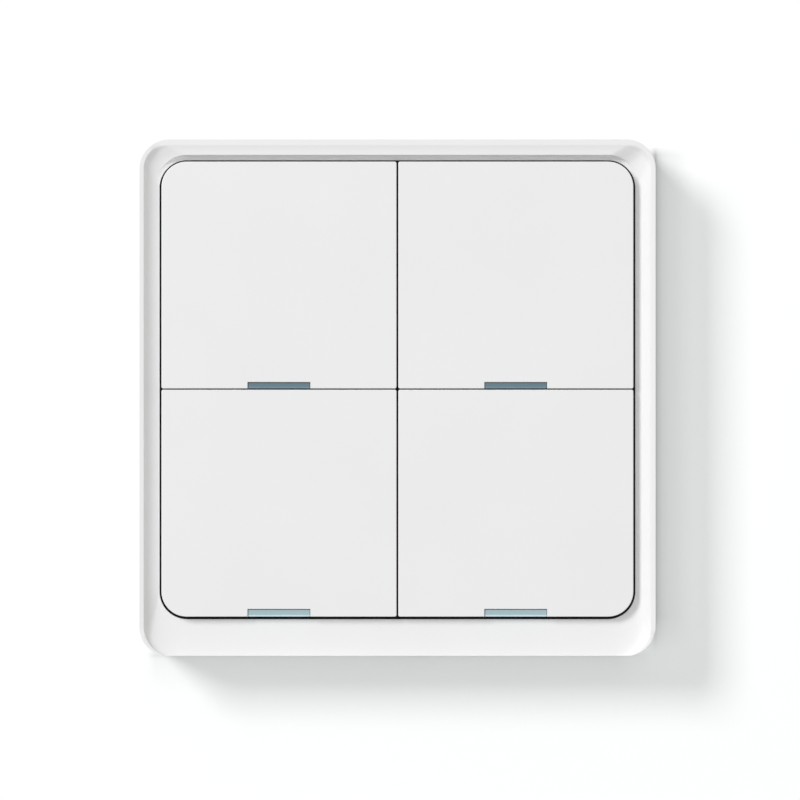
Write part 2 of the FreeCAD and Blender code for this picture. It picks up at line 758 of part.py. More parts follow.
def add_latches(body, row, x):
    """Adds two legs through the carrier, whose heads keep the key from swinging out."""
    head_front = "carrier_back - latch_gap"

    def draw(low, high):
        def draw_boxes(sketch):
            for across in both_sides:
                middle = f"{x} + {across} * latch_spread"
                add_box(sketch, f"{middle} - latch_width / 2", f"{middle} + latch_width / 2",
                        f"{row}_latch + {low}", f"{row}_latch + {high}")
        return draw_boxes
    add_pad(body, "latch_legs", f"{head_front} - latch_head", "key_under",
            draw("(-latch_thickness / 2)", "latch_thickness / 2"))
    add_pad(body, "latch_heads", f"{head_front} - latch_head", head_front,
            draw("0", "(latch_thickness / 2 + latch_reach)"))


# Light guides
def make_light_guide(row, column):
    body = new_body(f"light_guide_{row}_{column}")
    x = key_x(columns[column])
    add_pad(body, "bar", "guide_back", "guide_front",
            lambda s: add_centred_box(s, x, f"{row}_guide", "guide_width", "guide_height"))
    round_edges(body, "face_round", "guide_edge", lies_at("guide_front"))

    def draw_ears(sketch):
        for across in both_sides:
            middle = f"{x} + {across} * (guide_width / 2 + ear_reach - ear_width / 2)"
            add_centred_box(sketch, middle, f"{row}_guide", "ear_width", "guide_height")
    add_pad(body, "ears", "carrier_back - ear_height", "carrier_back", draw_ears)


# Circuit board and what is soldered to it
def make_circuit_board():
    body = new_body("circuit_board")
    add_pad(body, "board", "board_back", "board_front",
            lambda s: add_rounded_box(s, "-board_right", "board_right", "-board_top", "board_top",
                                      "board_corner"))
    add_pocket(body, "screw_holes", "board_back", "board_front", draw_at_screws("screw_bore"))
    add_pocket(body, "latch_slots", "board_back", "board_front",
               draw_at_latches("(-latch_thickness / 2 - latch_clearance)",
                               "(latch_thickness / 2 + latch_reach + latch_clearance)",
                               "latch_width + 2 * latch_clearance"))


def draw_at_switches(draw_one):
    def draw(sketch):
        for row in rows:
            for side in columns.values():
                draw_one(sketch, key_x(side), f"{row}_switch")
    return draw


def make_switch_bases():
    body = new_body("switch_bases")
    add_pad(body, "bases", "board_front", "switch_body_front", draw_at_switches(
        lambda s, x, z: add_centred_box(s, x, z, "switch_width", "switch_width")))
    add_pocket(body, "recesses", "switch_floor_front", "switch_body_front",
               draw_at_switches(lambda s, x, z: add_circle(s, x, z, "switch_recess")))


def make_switch_covers():
    body = new_body("switch_covers")

    def draw_one(sketch, x, z):
        add_centred_box(sketch, x, z, "switch_width", "switch_width")
        add_circle(sketch, x, z, "cover_hole")
    add_pad(body, "covers", "switch_body_front", "cover_front", draw_at_switches(draw_one))


def make_snap_dome(row, column):
    body = new_body(f"snap_dome_{row}_{column}")
    add_turned(body, "dome", key_x(columns[column]), f"{row}_switch", [
        ("0", "dome_front - dome_sheet"),
        ("dome_crown", "dome_front - dome_sheet"),
        ("dome_radius", "switch_floor_front"),
        ("dome_radius", "switch_floor_front + dome_sheet"),
        ("dome_crown", "dome_front"),
        ("0", "dome_front"),
    ])


def make_plunger(row, column):
    body = new_body(f"plunger_{row}_{column}")
    add_turned(body, "plunger", key_x(columns[column]), f"{row}_switch", [
        ("0", "plunger_back"),
        ("flange_radius", "plunger_back"),
        ("flange_radius", "flange_front"),
        ("plunger_radius", "flange_front"),
        ("plunger_radius", "plunger_front - plunger_edge"),
        ("plunger_radius - plunger_edge", "plunger_front"),
        ("0", "plunger_front"),
    ])


def make_status_leds():
    body = new_body("status_leds")

    def draw(sketch):
        for row in rows:
            for side in columns.values():
                add_centred_box(sketch, key_x(side), f"{row}_guide", "chip_length", "chip_width")
    add_pad(body, "chips", "board_front", "chip_front", draw)


def make_radio():
    top = "board_top - radio_inset"
    bottom = f"{top} - radio_length"
    radio_back = "board_back - radio_thickness"
    body = new_body("radio_module")
    add_pad(body, "module", radio_back, "board_back",
            lambda s: add_box(s, "-radio_width / 2", "radio_width / 2", bottom, top))
    body = new_body("radio_shield")
    shield = ("-shield_width / 2", "shield_width / 2", f"{bottom} + shield_margin",
              f"{bottom} + shield_margin + shield_length")
    inside = (f"{shield[0]} + shield_sheet", f"{shield[1]} - shield_sheet",
              f"{shield[2]} + shield_sheet", f"{shield[3]} - shield_sheet")
    shield_back = f"{radio_back} - shield_height"
    add_pad(body, "can", shield_back, radio_back, lambda s: add_box(s, *shield))
    add_pocket(body, "can_inside", f"{shield_back} + shield_sheet", radio_back,
               lambda s: add_box(s, *inside))
    body = new_body("chip_antenna")
    add_pad(body, "antenna", f"{radio_back} - antenna_height", radio_back,
            lambda s: add_box(s, "-antenna_length / 2", "antenna_length / 2",
                              f"{top} - antenna_margin - antenna_width",
                              f"{top} - antenna_margin"))


def make_storage_capacitors():
    body = new_body("storage_capacitors")

    def draw(sketch):
        for i in range(capacitor_count):
            add_centred_box(sketch, "capacitor_offset", f"capacitor_rise + {i} * capacitor_pitch",
                            "capacitor_length", "capacitor_width")
    add_pad(body, "capacitors", "board_back - capacitor_height", "board_back", draw)


# Battery
def make_coin_cell():
    body = new_body("coin_cell")
    add_pad(body, "can", "cell_back", "cell_front - cell_cap_height",
            lambda s: add_circle(s, "0", "-battery_drop", "cell_radius"))
    round_edges(body, "can_round", "cell_edge", lies_at("cell_back"))
    add_pad(body, "cap", "cell_front - cell_cap_height", "cell_front",
            lambda s: add_circle(s, "0", "-battery_drop", "cell_cap_radius"))


def make_battery_holder():
    body = new_body("battery_holder")
    add_pad(body, "ring", "holder_back", "board_back",
            lambda s: add_circle(s, "0", "-battery_drop", "holder_radius"))
    floor = "board_back - holder_floor"
    add_pocket(body, "well", "holder_back", floor,
               lambda s: add_circle(s, "0", "-battery_drop", "cell_radius + cell_fit"))
    add_pocket(body, "leaf_window", floor, "board_back",
               lambda s: add_centred_box(s, "0", "-battery_drop", "holder_window", "holder_window"))
    add_pocket(body, "contact_gap", "holder_back", "board_back",
               lambda s: add_box(s, "cell_cap_radius", "holder_radius + holder_wall",
                                 "-battery_drop - holder_gap / 2", "-battery_drop + holder_gap / 2"))
    add_pocket(body, "thumb_gap", "holder_back", "holder_back + thumb_depth",
               lambda s: add_box(s, "-holder_radius - holder_wall", "-cell_cap_radius",
                                 "-battery_drop - thumb_width / 2",
                                 "-battery_drop + thumb_width / 2"))


def make_contacts():
    body = new_body("positive_contact")
    wall_left = "cell_radius + contact_gap"
    bottom = "-battery_drop - contact_width / 2"
    top = "-battery_drop + contact_width / 2"
    add_pad(body, "foot", "board_back - contact_sheet", "board_back",
            lambda s: add_box(s, wall_left, f"{wall_left} + contact_foot", bottom, top))
    add_pad(body, "wall", "board_back - contact_height", "board_back",
            lambda s: add_box(s, wall_left, f"{wall_left} + contact_sheet", bottom, top))
    body = new_body("negative_contact")
    sketch = new_sketch(body, "leaf_sketch", "YZ_Plane", {"z": "-contact_width / 2"})
    foot_end = "-battery_drop - leaf_length / 2 + leaf_foot"
    leaf_bottom = "-battery_drop - leaf_length / 2"
    leaf_top = "-battery_drop + leaf_length / 2"
    add_polygon(sketch, [
        ("-board_back", leaf_bottom),
        ("-board_back + contact_sheet", leaf_bottom),
        ("-board_back + contact_sheet", foot_end),
        ("-cell_front", leaf_top),
        ("-cell_front - contact_sheet", leaf_top),
        ("-board_back", foot_end),
    ])
    leaf = body.newObject("PartDesign::Pad", "leaf")
    leaf.Profile = sketch
    leaf.setExpression("Length", expand("contact_width"))


make_wall_plate()
make_adhesive_pads()
make_rear_housing()
make_housing_screws()
make_front_frame()
make_key_carrier()
for row in rows:
    for column in columns:
        make_key(row, column)
        make_light_guide(row, column)
        make_snap_dome(row, column)
        make_plunger(row, column)
make_circuit_board()
make_switch_bases()
make_switch_covers()
make_status_leds()
make_radio()
make_storage_capacitors()
make_coin_cell()
make_battery_holder()
make_contacts()
doc.recompute()

# Checks before anything is written
failed = [o.Label for o in doc.Objects if "Invalid" in o.State or "Error" in o.State]
assert not failed, f"objects not made: {failed}"
for feature in doc.Objects:
    if feature.TypeId in ("PartDesign::Pocket", "PartDesign::SubtractiveLoft"):
        removed = feature.BaseFeature.Shape.Volume - feature.Shape.Volume
        assert removed > 0, f"{feature.Label} of {feature.getParentGeoFeatureGroup().Label} cuts nothing"
for body in nodes:
    assert not body.Shape.isNull() and body.Shape.isValid(), f"{body.Label} has no valid shape"

os.makedirs("parts", exist_ok=True)
for body in nodes:
    body.Shape.exportStep(f"parts/{body.Label}.step")
    print(f"{body.Label}: {len(body.Shape.Solids)} solid, {body.Shape.Volume:.2f} mm3")
print(f"key angle at full travel: {math.degrees(number_of('plunger_travel / switch_lever')):.4f} deg")
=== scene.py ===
import math
import bmesh
import bpy
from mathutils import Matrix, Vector


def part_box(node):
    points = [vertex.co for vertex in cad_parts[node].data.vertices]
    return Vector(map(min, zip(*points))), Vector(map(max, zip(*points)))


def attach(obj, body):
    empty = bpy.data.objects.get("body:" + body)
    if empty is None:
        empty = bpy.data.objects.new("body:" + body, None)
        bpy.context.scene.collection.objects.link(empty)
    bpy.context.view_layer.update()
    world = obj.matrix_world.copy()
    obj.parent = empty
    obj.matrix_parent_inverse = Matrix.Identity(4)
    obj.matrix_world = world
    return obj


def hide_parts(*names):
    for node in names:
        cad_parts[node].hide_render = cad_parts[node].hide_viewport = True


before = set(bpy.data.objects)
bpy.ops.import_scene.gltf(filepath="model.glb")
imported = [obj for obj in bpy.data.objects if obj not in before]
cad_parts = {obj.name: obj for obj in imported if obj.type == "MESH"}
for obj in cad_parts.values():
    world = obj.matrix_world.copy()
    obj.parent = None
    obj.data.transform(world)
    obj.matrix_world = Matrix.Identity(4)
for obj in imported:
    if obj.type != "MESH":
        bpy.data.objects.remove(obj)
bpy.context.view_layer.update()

# A wireless scene switch on a white wall: a coved front frame, four rocker keys with light guides,
# and behind them the rear housing, its coin cell and the plate that it snaps onto.
# X is to the right, Z is up, the wall is Y = 0 and the keys face -Y. Depths count from the wall.
# Sizes in the dictionaries are millimetres and angles are degrees, unless a note says otherwise.

mm = 0.001


# Steps for shader trees, shared by the studio and the finishes
noiseLow, noiseHigh = 0.3, 0.7  # nearly all of a noise lies between these


def feed(tree, socket, value):
    # value is another node's output, or else a number or a colour
    if isinstance(value, bpy.types.NodeSocket):
        tree.links.new(value, socket)
    else:
        socket.default_value = value


def addMath(tree, operation, *values, kind="ShaderNodeMath", result=0):
    node = tree.nodes.new(kind)
    node.operation = operation
    for socket, value in zip(node.inputs, values):
        feed(tree, socket, value)
    return node.outputs[result]


def addVectorMath(tree, operation, *values, result="Vector"):
    return addMath(tree, operation, *values, kind="ShaderNodeVectorMath", result=result)


def addRange(tree, value, low, high, fromLow=noiseLow, fromHigh=noiseHigh):
    spread = tree.nodes.new("ShaderNodeMapRange")
    spread.inputs["From Min"].default_value = fromLow
    spread.inputs["From Max"].default_value = fromHigh
    spread.inputs["To Min"].default_value = low
    spread.inputs["To Max"].default_value = high
    tree.links.new(value, spread.inputs["Value"])
    return spread.outputs["Result"]


def addRamp(tree, value, stops):
    # stops are place, colour pairs
    ramp = tree.nodes.new("ShaderNodeValToRGB")
    for extra in range(len(stops) - 2):
        ramp.color_ramp.elements.new(0.5)
    for element, (place, colour) in zip(ramp.color_ramp.elements, stops):
        element.position = place
        element.color = (*colour, 1)
    tree.links.new(value, ramp.inputs["Fac"])
    return ramp.outputs["Color"]


def addMix(tree, factor, first, second, blend="MIX"):
    mix = tree.nodes.new("ShaderNodeMix")
    mix.data_type = "RGBA"
    mix.blend_type = blend
    for name, value in (("Factor", factor), ("A", first), ("B", second)):
        feed(tree, mix.inputs[name], value)
    return mix.outputs["Result"]


def splitPlace(tree, where):
    split = tree.nodes.new("ShaderNodeSeparateXYZ")
    tree.links.new(where, split.inputs["Vector"])
    return split.outputs


# Studio: the camera straight in front, a white wall, a soft sky, a lamp from the upper left,
# and one behind the wall for the switch's back
studio = {
    "lens": 200, "sensor": 36, "cameraAway": 738, "cameraAcross": 0.43, "cameraUp": -0.41,
    "faceDepth": 13, "skyTint": (1.0, 1.0, 0.985), "skyLevel": 0.595, "seenTint": (1, 1, 1),
    "seenLevel": 1,
    "clip": (0.01, 50), "wallSize": 6, "lampAway": 4.0,  # these three and the lamps are in metres
    "lamps": {
        "mainSoftbox": {"from": (-0.95, -1.0, 0.7), "wide": 1.1, "tall": 1.4, "power": 94.5,
                        "tint": (0.98, 0.98, 1.0)},
        "rearSoftbox": {"from": (0.6, 1.0, 0.8), "wide": 2.4, "tall": 2.4, "power": 80,
                        "tint": (1, 0.97, 0.95)},
    },
}

# The wall's paint, and the painted contact shadow: a soft dark line along the frame's right and
# lower edges
wallPaint = {
    "behind": 0.05, "colour": (0.835, 0.83, 0.83), "glow": 0.22, "glowTint": (0.9, 1.0, 1.02),
    "shadeRight": ((0, 0), (0.2, 0.5), (0.26, 0.3), (0.35, 0.19), (0.47, 0.13), (0.6, 0.1),
                   (0.85, 0.03), (1, 0)),
    "shadeBelow": ((0, 0), (0.2, 0.2), (0.26, 0.1), (0.35, 0.07), (0.6, 0.04), (1, 0)),
    "edge": 43, "startsInside": 1, "reach": 8, "fadeNearLamp": (0.5, 2), "fadeFarEnd": (0, 6),
}


def placeCamera():
    camera = bpy.data.objects.new("photoCamera", bpy.data.cameras.new("photoCamera"))
    bpy.context.scene.collection.objects.link(camera)
    camera.location = (studio["cameraAcross"] * mm,
                       -(studio["cameraAway"] + studio["faceDepth"]) * mm, studio["cameraUp"] * mm)
    camera.rotation_euler = (math.radians(90), 0, 0)
    camera.data.lens = studio["lens"]
    camera.data.sensor_width = studio["sensor"]
    camera.data.clip_start, camera.data.clip_end = studio["clip"]
    bpy.context.scene.camera = camera


def hangSoftbox(name, look):
    light = bpy.data.lights.new(name, "AREA")
    light.shape = "RECTANGLE"
    light.size = look["wide"]
    light.size_y = look["tall"]
    light.energy = look["power"]
    light.color = look["tint"]
    lamp = bpy.data.objects.new(name, light)
    bpy.context.scene.collection.objects.link(lamp)
    lamp.location = Vector(look["from"]).normalized() * studio["lampAway"]
    lamp.rotation_euler = (-lamp.location).to_track_quat("-Z", "Y").to_euler()


def lightTheSky():
    # the object is lit by the soft sky; only the eye, gloss and clear plastic see plain white
    world = bpy.data.worlds.new("studioSky")
    bpy.context.scene.world = world
    world.use_nodes = True
    tree = world.node_tree
    tree.nodes.clear()
    path = tree.nodes.new("ShaderNodeLightPath")
    seen = addMath(tree, "MAXIMUM", path.outputs["Is Camera Ray"], path.outputs["Is Glossy Ray"])
    mix = tree.nodes.new("ShaderNodeMixShader")
    tree.links.new(addMath(tree, "MAXIMUM", seen, path.outputs["Is Transmission Ray"]),
                   mix.inputs[0])
    for socket, kind in ((mix.inputs[1], "sky"), (mix.inputs[2], "seen")):
        sky = tree.nodes.new("ShaderNodeBackground")
        sky.inputs["Color"].default_value = (*studio[kind + "Tint"], 1)
        sky.inputs["Strength"].default_value = studio[kind + "Level"]
        tree.links.new(sky.outputs[0], socket)
    out = tree.nodes.new("ShaderNodeOutputWorld")
    tree.links.new(mix.outputs[0], out.inputs["Surface"])


def addContactShade(tree, along, across, sign, look, stops):
    # one edge's painted contact shadow on the wall, strongest where the frame stands, faded at the
    # corners
    def between(value, side, start, end):
        return addRange(tree, value, 0, 1, side * start * mm, side * end * mm)

    edge, start = look["edge"], look["edge"] - look["startsInside"]
    line = addRamp(tree, between(across, sign, start, start + look["reach"]),
                   [(place, (dark, dark, dark)) for place, dark in stops])
    nearLamp = between(along, sign, *(edge - inset for inset in look["fadeNearLamp"]))
    farEnd = between(along, -sign, *(edge - inset for inset in look["fadeFarEnd"]))
    return addMath(tree, "MULTIPLY", line, addMath(tree, "MULTIPLY", nearLamp, farEnd))


def paintWall(look):
    material = bpy.data.materials.new("wallWhite")
    material.use_nodes = True
    tree = material.node_tree
    tree.nodes.clear()
    surface = tree.nodes.new("ShaderNodeNewGeometry")
    place = splitPlace(tree, surface.outputs["Position"])
    across, up = place["X"], place["Z"]
    # painted contact shadow, which dims both the paint and its glow
    dark = addMath(tree, "MAXIMUM", addContactShade(tree, up, across, 1, look, look["shadeRight"]),
                   addContactShade(tree, across, up, -1, look, look["shadeBelow"]))
    left = addMath(tree, "SUBTRACT", 1, dark)
    tone = tree.nodes.new("ShaderNodeVectorMath")
    tone.operation = "SCALE"
    tone.inputs[0].default_value = look["colour"]
    tree.links.new(left, tone.inputs["Scale"])
    paint = tree.nodes.new("ShaderNodeBsdfDiffuse")
    tree.links.new(tone.outputs["Vector"], paint.inputs["Color"])
    glow = tree.nodes.new("ShaderNodeEmission")
    glow.inputs["Color"].default_value = (*look["glowTint"], 1)
    tree.links.new(addMath(tree, "MULTIPLY", left, look["glow"]), glow.inputs["Strength"])
    lit = tree.nodes.new("ShaderNodeAddShader")
    tree.links.new(paint.outputs[0], lit.inputs[0])
    tree.links.new(glow.outputs[0], lit.inputs[1])
    # only the eye and gloss see the wall, and only its front; all else goes through it
    path = tree.nodes.new("ShaderNodeLightPath")
    seen = addMath(tree, "MAXIMUM", path.outputs["Is Camera Ray"], path.outputs["Is Glossy Ray"])
    front = addMath(tree, "SUBTRACT", 1, surface.outputs["Backfacing"])
    clear = tree.nodes.new("ShaderNodeBsdfTransparent")
    mix = tree.nodes.new("ShaderNodeMixShader")
    tree.links.new(addMath(tree, "MULTIPLY", seen, front), mix.inputs[0])
    tree.links.new(clear.outputs[0], mix.inputs[1])
    tree.links.new(lit.outputs[0], mix.inputs[2])
    shown = tree.nodes.new("ShaderNodeOutputMaterial")
    tree.links.new(mix.outputs[0], shown.inputs["Surface"])
    return material


def hangWall():
    # the wall shows its front only, so that the plate behind can be seen and lit from the back
    bpy.ops.mesh.primitive_plane_add(size=studio["wallSize"], rotation=(math.radians(90), 0, 0),
                                     location=(0, wallPaint["behind"] * mm, 0))
    wall = bpy.context.object
    wall.name = "studioWall"
    wall.data.materials.append(paintWall(wallPaint))


bpy.ops.object.select_all(action="DESELECT")
placeCamera()
lightTheSky()
for name, look in studio["lamps"].items():
    hangSoftbox(name, look)
hangWall()
bpy.context.scene.view_settings.view_transform = "Standard"
print("studio ready")


# Finishes: every one reads Object coordinates in millimetres
def startMaterial(name):
    material = bpy.data.materials.new(name)
    material.use_nodes = True
    tree = material.node_tree
    place = tree.nodes.new("ShaderNodeTexCoord")
    scale = tree.nodes.new("ShaderNodeMapping")
    scale.inputs["Scale"].default_value = (1 / mm, 1 / mm, 1 / mm)
    tree.links.new(place.outputs["Object"], scale.inputs["Vector"])
    return material, tree, tree.nodes["Principled BSDF"], scale.outputs["Vector"]


def addNoise(tree, where, size, detail=3, stretch=None):
    # cloudy noise whose lumps are about this many millimetres across
    if stretch:
        where = addVectorMath(tree, "MULTIPLY", where, stretch)
    noise = tree.nodes.new("ShaderNodeTexNoise")
    noise.inputs["Scale"].default_value = 1 / size
    noise.inputs["Detail"].default_value = detail
    tree.links.new(where, noise.inputs["Vector"])
    return noise.outputs["Fac"]


def addCells(tree, where, size, feature="F1", distance="EUCLIDEAN"):
    cells = tree.nodes.new("ShaderNodeTexVoronoi")
    cells.feature = feature
    cells.distance = distance
    cells.inputs["Scale"].default_value = 1 / size
    tree.links.new(where, cells.inputs["Vector"])
    return cells.outputs["Distance"]


def addRelief(tree, shader, heights):
    # each height is value, depth in millimetres; they stack
    normal = None
    for value, depth in heights:
        bump = tree.nodes.new("ShaderNodeBump")
        bump.inputs["Distance"].default_value = depth * mm
        bump.inputs["Strength"].default_value = 1
        tree.links.new(value, bump.inputs["Height"])
        if normal:
            tree.links.new(normal, bump.inputs["Normal"])
        normal = bump.outputs["Normal"]
    tree.links.new(normal, shader.inputs["Normal"])


def shaded(colour, factor):
    return tuple(channel * factor for channel in colour)


def addGapShade(tree, colour, where, gap):
    # painted shade: the walls of the narrow gaps round the keys are painted darker with depth
    place = splitPlace(tree, where)
    shade = addRange(tree, place["Y"], 0, 1, -gap["from"], -gap["to"])
    if "across" in gap:  # on the frame, inside its opening only
        side = addMath(tree, "ABSOLUTE", place["X"])
        level = addMath(tree, "ABSOLUTE", addMath(tree, "SUBTRACT", place["Z"], gap["middle"]))
        inside = addMath(tree, "MULTIPLY", addMath(tree, "LESS_THAN", side, gap["across"]),
                         addMath(tree, "LESS_THAN", level, gap["up"]))
        shade = addMath(tree, "MULTIPLY", shade, inside)
    return addMix(tree, shade, colour, (*gap["colour"], 1))


# Moulded plastics: faint clouds from the flow of the melt, a fine grain and shallow sinks
plastics = {
    # a gap entry is painted shade, near black on the gap walls below the given depths
    "frameWhite": {"colour": (0.875, 0.875, 0.875), "tone": 0.012, "flow": 14, "rough": 0.42,
                   "roughSpread": 0.05, "specular": 0.35, "grain": 0.16, "relief": 0.0022,
                   "sink": 0.004, "gap": {"from": 11.04, "to": 10.85, "across": 39.6, "up": 38.14,
                                          "middle": 1.18, "colour": (0.02, 0.02, 0.02)}},
    "keyWhite": {"colour": (0.868, 0.868, 0.872), "tone": 0.012, "flow": 18, "rough": 0.48,
                 "roughSpread": 0.05, "specular": 0.2, "grain": 0.15, "relief": 0.002,
                 "sink": 0.004, "gap": {"from": 11.0, "to": 10.8, "colour": (0.02, 0.02, 0.02)}},
    "housingWhite": {"colour": (0.78, 0.78, 0.77), "tone": 0.03, "flow": 11, "rough": 0.5,
                     "roughSpread": 0.08, "specular": 0.4, "grain": 0.3, "relief": 0.006,
                     "sink": 0.006},
    "plateGrey": {"colour": (0.62, 0.63, 0.64), "tone": 0.035, "flow": 12, "rough": 0.55,
                  "roughSpread": 0.08, "specular": 0.4, "grain": 0.35, "relief": 0.008,
                  "sink": 0.006},
    # the carrier's near black is partly its own dark grey and partly painted shade that deepens
    # the gaps round the keys
    "carrierGrey": {"colour": (0.025, 0.026, 0.028), "tone": 0.15, "flow": 9, "rough": 0.5,
                    "roughSpread": 0.08, "specular": 0.35, "grain": 0.3, "relief": 0.006,
                    "sink": 0.005},
    "holderBlack": {"colour": (0.022, 0.022, 0.024), "tone": 0.2, "flow": 6, "rough": 0.42,
                    "roughSpread": 0.08, "specular": 0.5, "grain": 0.25, "relief": 0.005,
                    "sink": 0.004},
    "switchBlack": {"colour": (0.03, 0.03, 0.032), "tone": 0.2, "flow": 3, "rough": 0.5,
                    "roughSpread": 0.08, "specular": 0.5, "grain": 0.12, "relief": 0.003,
                    "sink": 0.002},
    "plungerBrown": {"colour": (0.16, 0.065, 0.03), "tone": 0.15, "flow": 1.5, "rough": 0.38,
                     "roughSpread": 0.06, "specular": 0.5, "grain": 0.1, "relief": 0.002,
                     "sink": 0.002},
}
# shares of a plastic's own tone and flow
mouldedShares = {"palerTone": 0.4, "rubFlow": 0.45, "sinkFlow": 0.7}


def mouldedPlastic(name, look):
    material, tree, shader, where = startMaterial(name)
    clouds = addNoise(tree, where, look["flow"], 2)
    paler = 1 + look["tone"] * mouldedShares["palerTone"]
    colour = addRamp(tree, clouds, [(noiseLow, shaded(look["colour"], 1 - look["tone"])),
                                    (noiseHigh, shaded(look["colour"], paler))])
    # painted shade on the walls of the gaps round the keys
    if "gap" in look:
        colour = addGapShade(tree, colour, where, look["gap"])
    tree.links.new(colour, shader.inputs["Base Color"])
    rub = addNoise(tree, where, look["flow"] * mouldedShares["rubFlow"], 4)
    tree.links.new(addRange(tree, rub, look["rough"] - look["roughSpread"],
                            look["rough"] + look["roughSpread"]), shader.inputs["Roughness"])
    shader.inputs["Specular IOR Level"].default_value = look["specular"]
    sinks = addNoise(tree, where, look["flow"] * mouldedShares["sinkFlow"], 1)
    addRelief(tree, shader, [(addNoise(tree, where, look["grain"], 2), look["relief"]),
                             (sinks, look["sink"])])
    return material


finishes = {name: mouldedPlastic(name, look) for name, look in plastics.items()}


# Metals, brushed along one way or turned about the middle of the cell
metals = {
    "screwSteel": {"colour": (0.56, 0.55, 0.52), "stain": (0.42, 0.42, 0.45), "rough": 0.28,
                   "roughDown": 0.1, "roughUp": 0.12, "stretch": (1, 6, 1), "line": 0.22,
                   "relief": 0.003, "patch": 1.4, "patchEdge": (0.35, 0.65)},
    "sheetSteel": {"colour": (0.62, 0.62, 0.61), "stain": (0.5, 0.5, 0.5), "rough": 0.3,
                   "roughDown": 0.1, "roughUp": 0.12, "stretch": (0.12, 1, 6), "line": 0.3,
                   "relief": 0.0015, "patch": 3, "patchEdge": (0.35, 0.65)},
}
cellLook = {"colour": (0.66, 0.65, 0.63), "stain": (0.52, 0.52, 0.52), "rough": 0.26,
            "roughDown": 0.08, "roughUp": 0.12, "ringWidth": 0.35, "relief": 0.0025,
            "patch": 5, "patchEdge": (0.35, 0.7), "across": 0, "up": -17}


def addMetal(tree, shader, where, lines, look):
    # stained in patches, and rough and raised along its lines
    stops = zip(look["patchEdge"], (look["stain"], look["colour"]))
    tree.links.new(addRamp(tree, addNoise(tree, where, look["patch"]), list(stops)),
                   shader.inputs["Base Color"])
    tree.links.new(addRange(tree, lines, look["rough"] - look["roughDown"],
                            look["rough"] + look["roughUp"]), shader.inputs["Roughness"])
    shader.inputs["Metallic"].default_value = 1
    addRelief(tree, shader, [(lines, look["relief"])])


def brushedMetal(name, look):
    material, tree, shader, where = startMaterial(name)
    addMetal(tree, shader, where, addNoise(tree, where, look["line"], 3, look["stretch"]), look)
    return material


def turnedSteel(look):
    # fine turning marks run round the middle of the cell
    material, tree, shader, where = startMaterial("cellSteel")
    centred = addVectorMath(tree, "SUBTRACT", where, (look["across"], 0, look["up"]))
    flat = addVectorMath(tree, "MULTIPLY", centred, (1, 0, 1))
    rings = tree.nodes.new("ShaderNodeTexNoise")
    rings.noise_dimensions = "1D"
    rings.inputs["Scale"].default_value = 1 / look["ringWidth"]
    rings.inputs["Detail"].default_value = 4
    tree.links.new(addVectorMath(tree, "LENGTH", flat, result="Value"), rings.inputs["W"])
    addMetal(tree, shader, where, rings.outputs["Fac"], look)
    return material


finishes.update({name: brushedMetal(name, look) for name, look in metals.items()})
finishes["cellSteel"] = turnedSteel(cellLook)


# Boards: a coloured mask with paler tracks under it and small tinned holes
boardLook = {"mask": (0.012, 0.105, 0.045), "track": (0.03, 0.2, 0.08), "hole": (0.5, 0.5, 0.46),
             "trackPitch": 2.6, "trackEdge": (0.5, 0.56), "trackRelief": 0.02,
             "holePitch": 4.2, "holeEdge": (0.07, 0.085),
             "rough": (0.22, 0.36), "roughPatch": 5, "grain": 0.3, "relief": 0.004}


def solderMask(name, look):
    material, tree, shader, where = startMaterial(name)
    tracks = addCells(tree, where, look["trackPitch"], "F2", "CHEBYCHEV")
    under = addRamp(tree, tracks, list(zip(look["trackEdge"], (look["mask"], look["track"]))))
    isHole = addRange(tree, addCells(tree, where, look["holePitch"]), 1, 0, *look["holeEdge"])
    tree.links.new(addMix(tree, isHole, under, (*look["hole"], 1)), shader.inputs["Base Color"])
    tree.links.new(addRange(tree, addNoise(tree, where, look["roughPatch"]), *look["rough"]),
                   shader.inputs["Roughness"])
    tree.links.new(isHole, shader.inputs["Metallic"])
    addRelief(tree, shader, [(tracks, look["trackRelief"]),
                             (addNoise(tree, where, look["grain"]), look["relief"])])
    return material


finishes["boardGreen"] = solderMask("boardGreen", boardLook)
finishes["radioBlue"] = solderMask("radioBlue", {**boardLook, "mask": (0.01, 0.03, 0.12),
                                                "track": (0.02, 0.06, 0.2), "trackPitch": 1.4,
                                                "holePitch": 2.2})


# Small chips: a fired body with fine specks
chips = {
    "ceramicWhite": {"colour": (0.78, 0.78, 0.74), "speck": 0.7},
    "ceramicTan": {"colour": (0.42, 0.27, 0.14), "speck": 0.6},
    "ledBody": {"colour": (0.85, 0.82, 0.6), "speck": 0.4},
}
firedBody = {"speckShade": 0.86, "rough": (0.3, 0.5), "grainShare": 0.4, "relief": 0.006}


def chipBody(name, look):
    material, tree, shader, where = startMaterial(name)
    speck = addNoise(tree, where, look["speck"], 4)
    dark = shaded(look["colour"], firedBody["speckShade"])
    tree.links.new(addRamp(tree, speck, [(noiseLow, dark), (noiseHigh, look["colour"])]),
                   shader.inputs["Base Color"])
    tree.links.new(addRange(tree, speck, *firedBody["rough"]), shader.inputs["Roughness"])
    grain = addNoise(tree, where, look["speck"] * firedBody["grainShare"])
    addRelief(tree, shader, [(grain, firedBody["relief"])])
    return material


finishes.update({name: chipBody(name, look) for name, look in chips.items()})


# Foam of the pads: dark pores in a grey that clouds a little
foamLook = {"colour": (0.2, 0.205, 0.215), "pore": (0.07, 0.072, 0.078), "poreSize": 0.42,
            "poreEdge": (0.15, 0.5), "poreDepth": 0.09, "cloudSize": 6, "cloudShade": 0.82,
            "rough": (0.82, 0.95), "specular": 0.25}


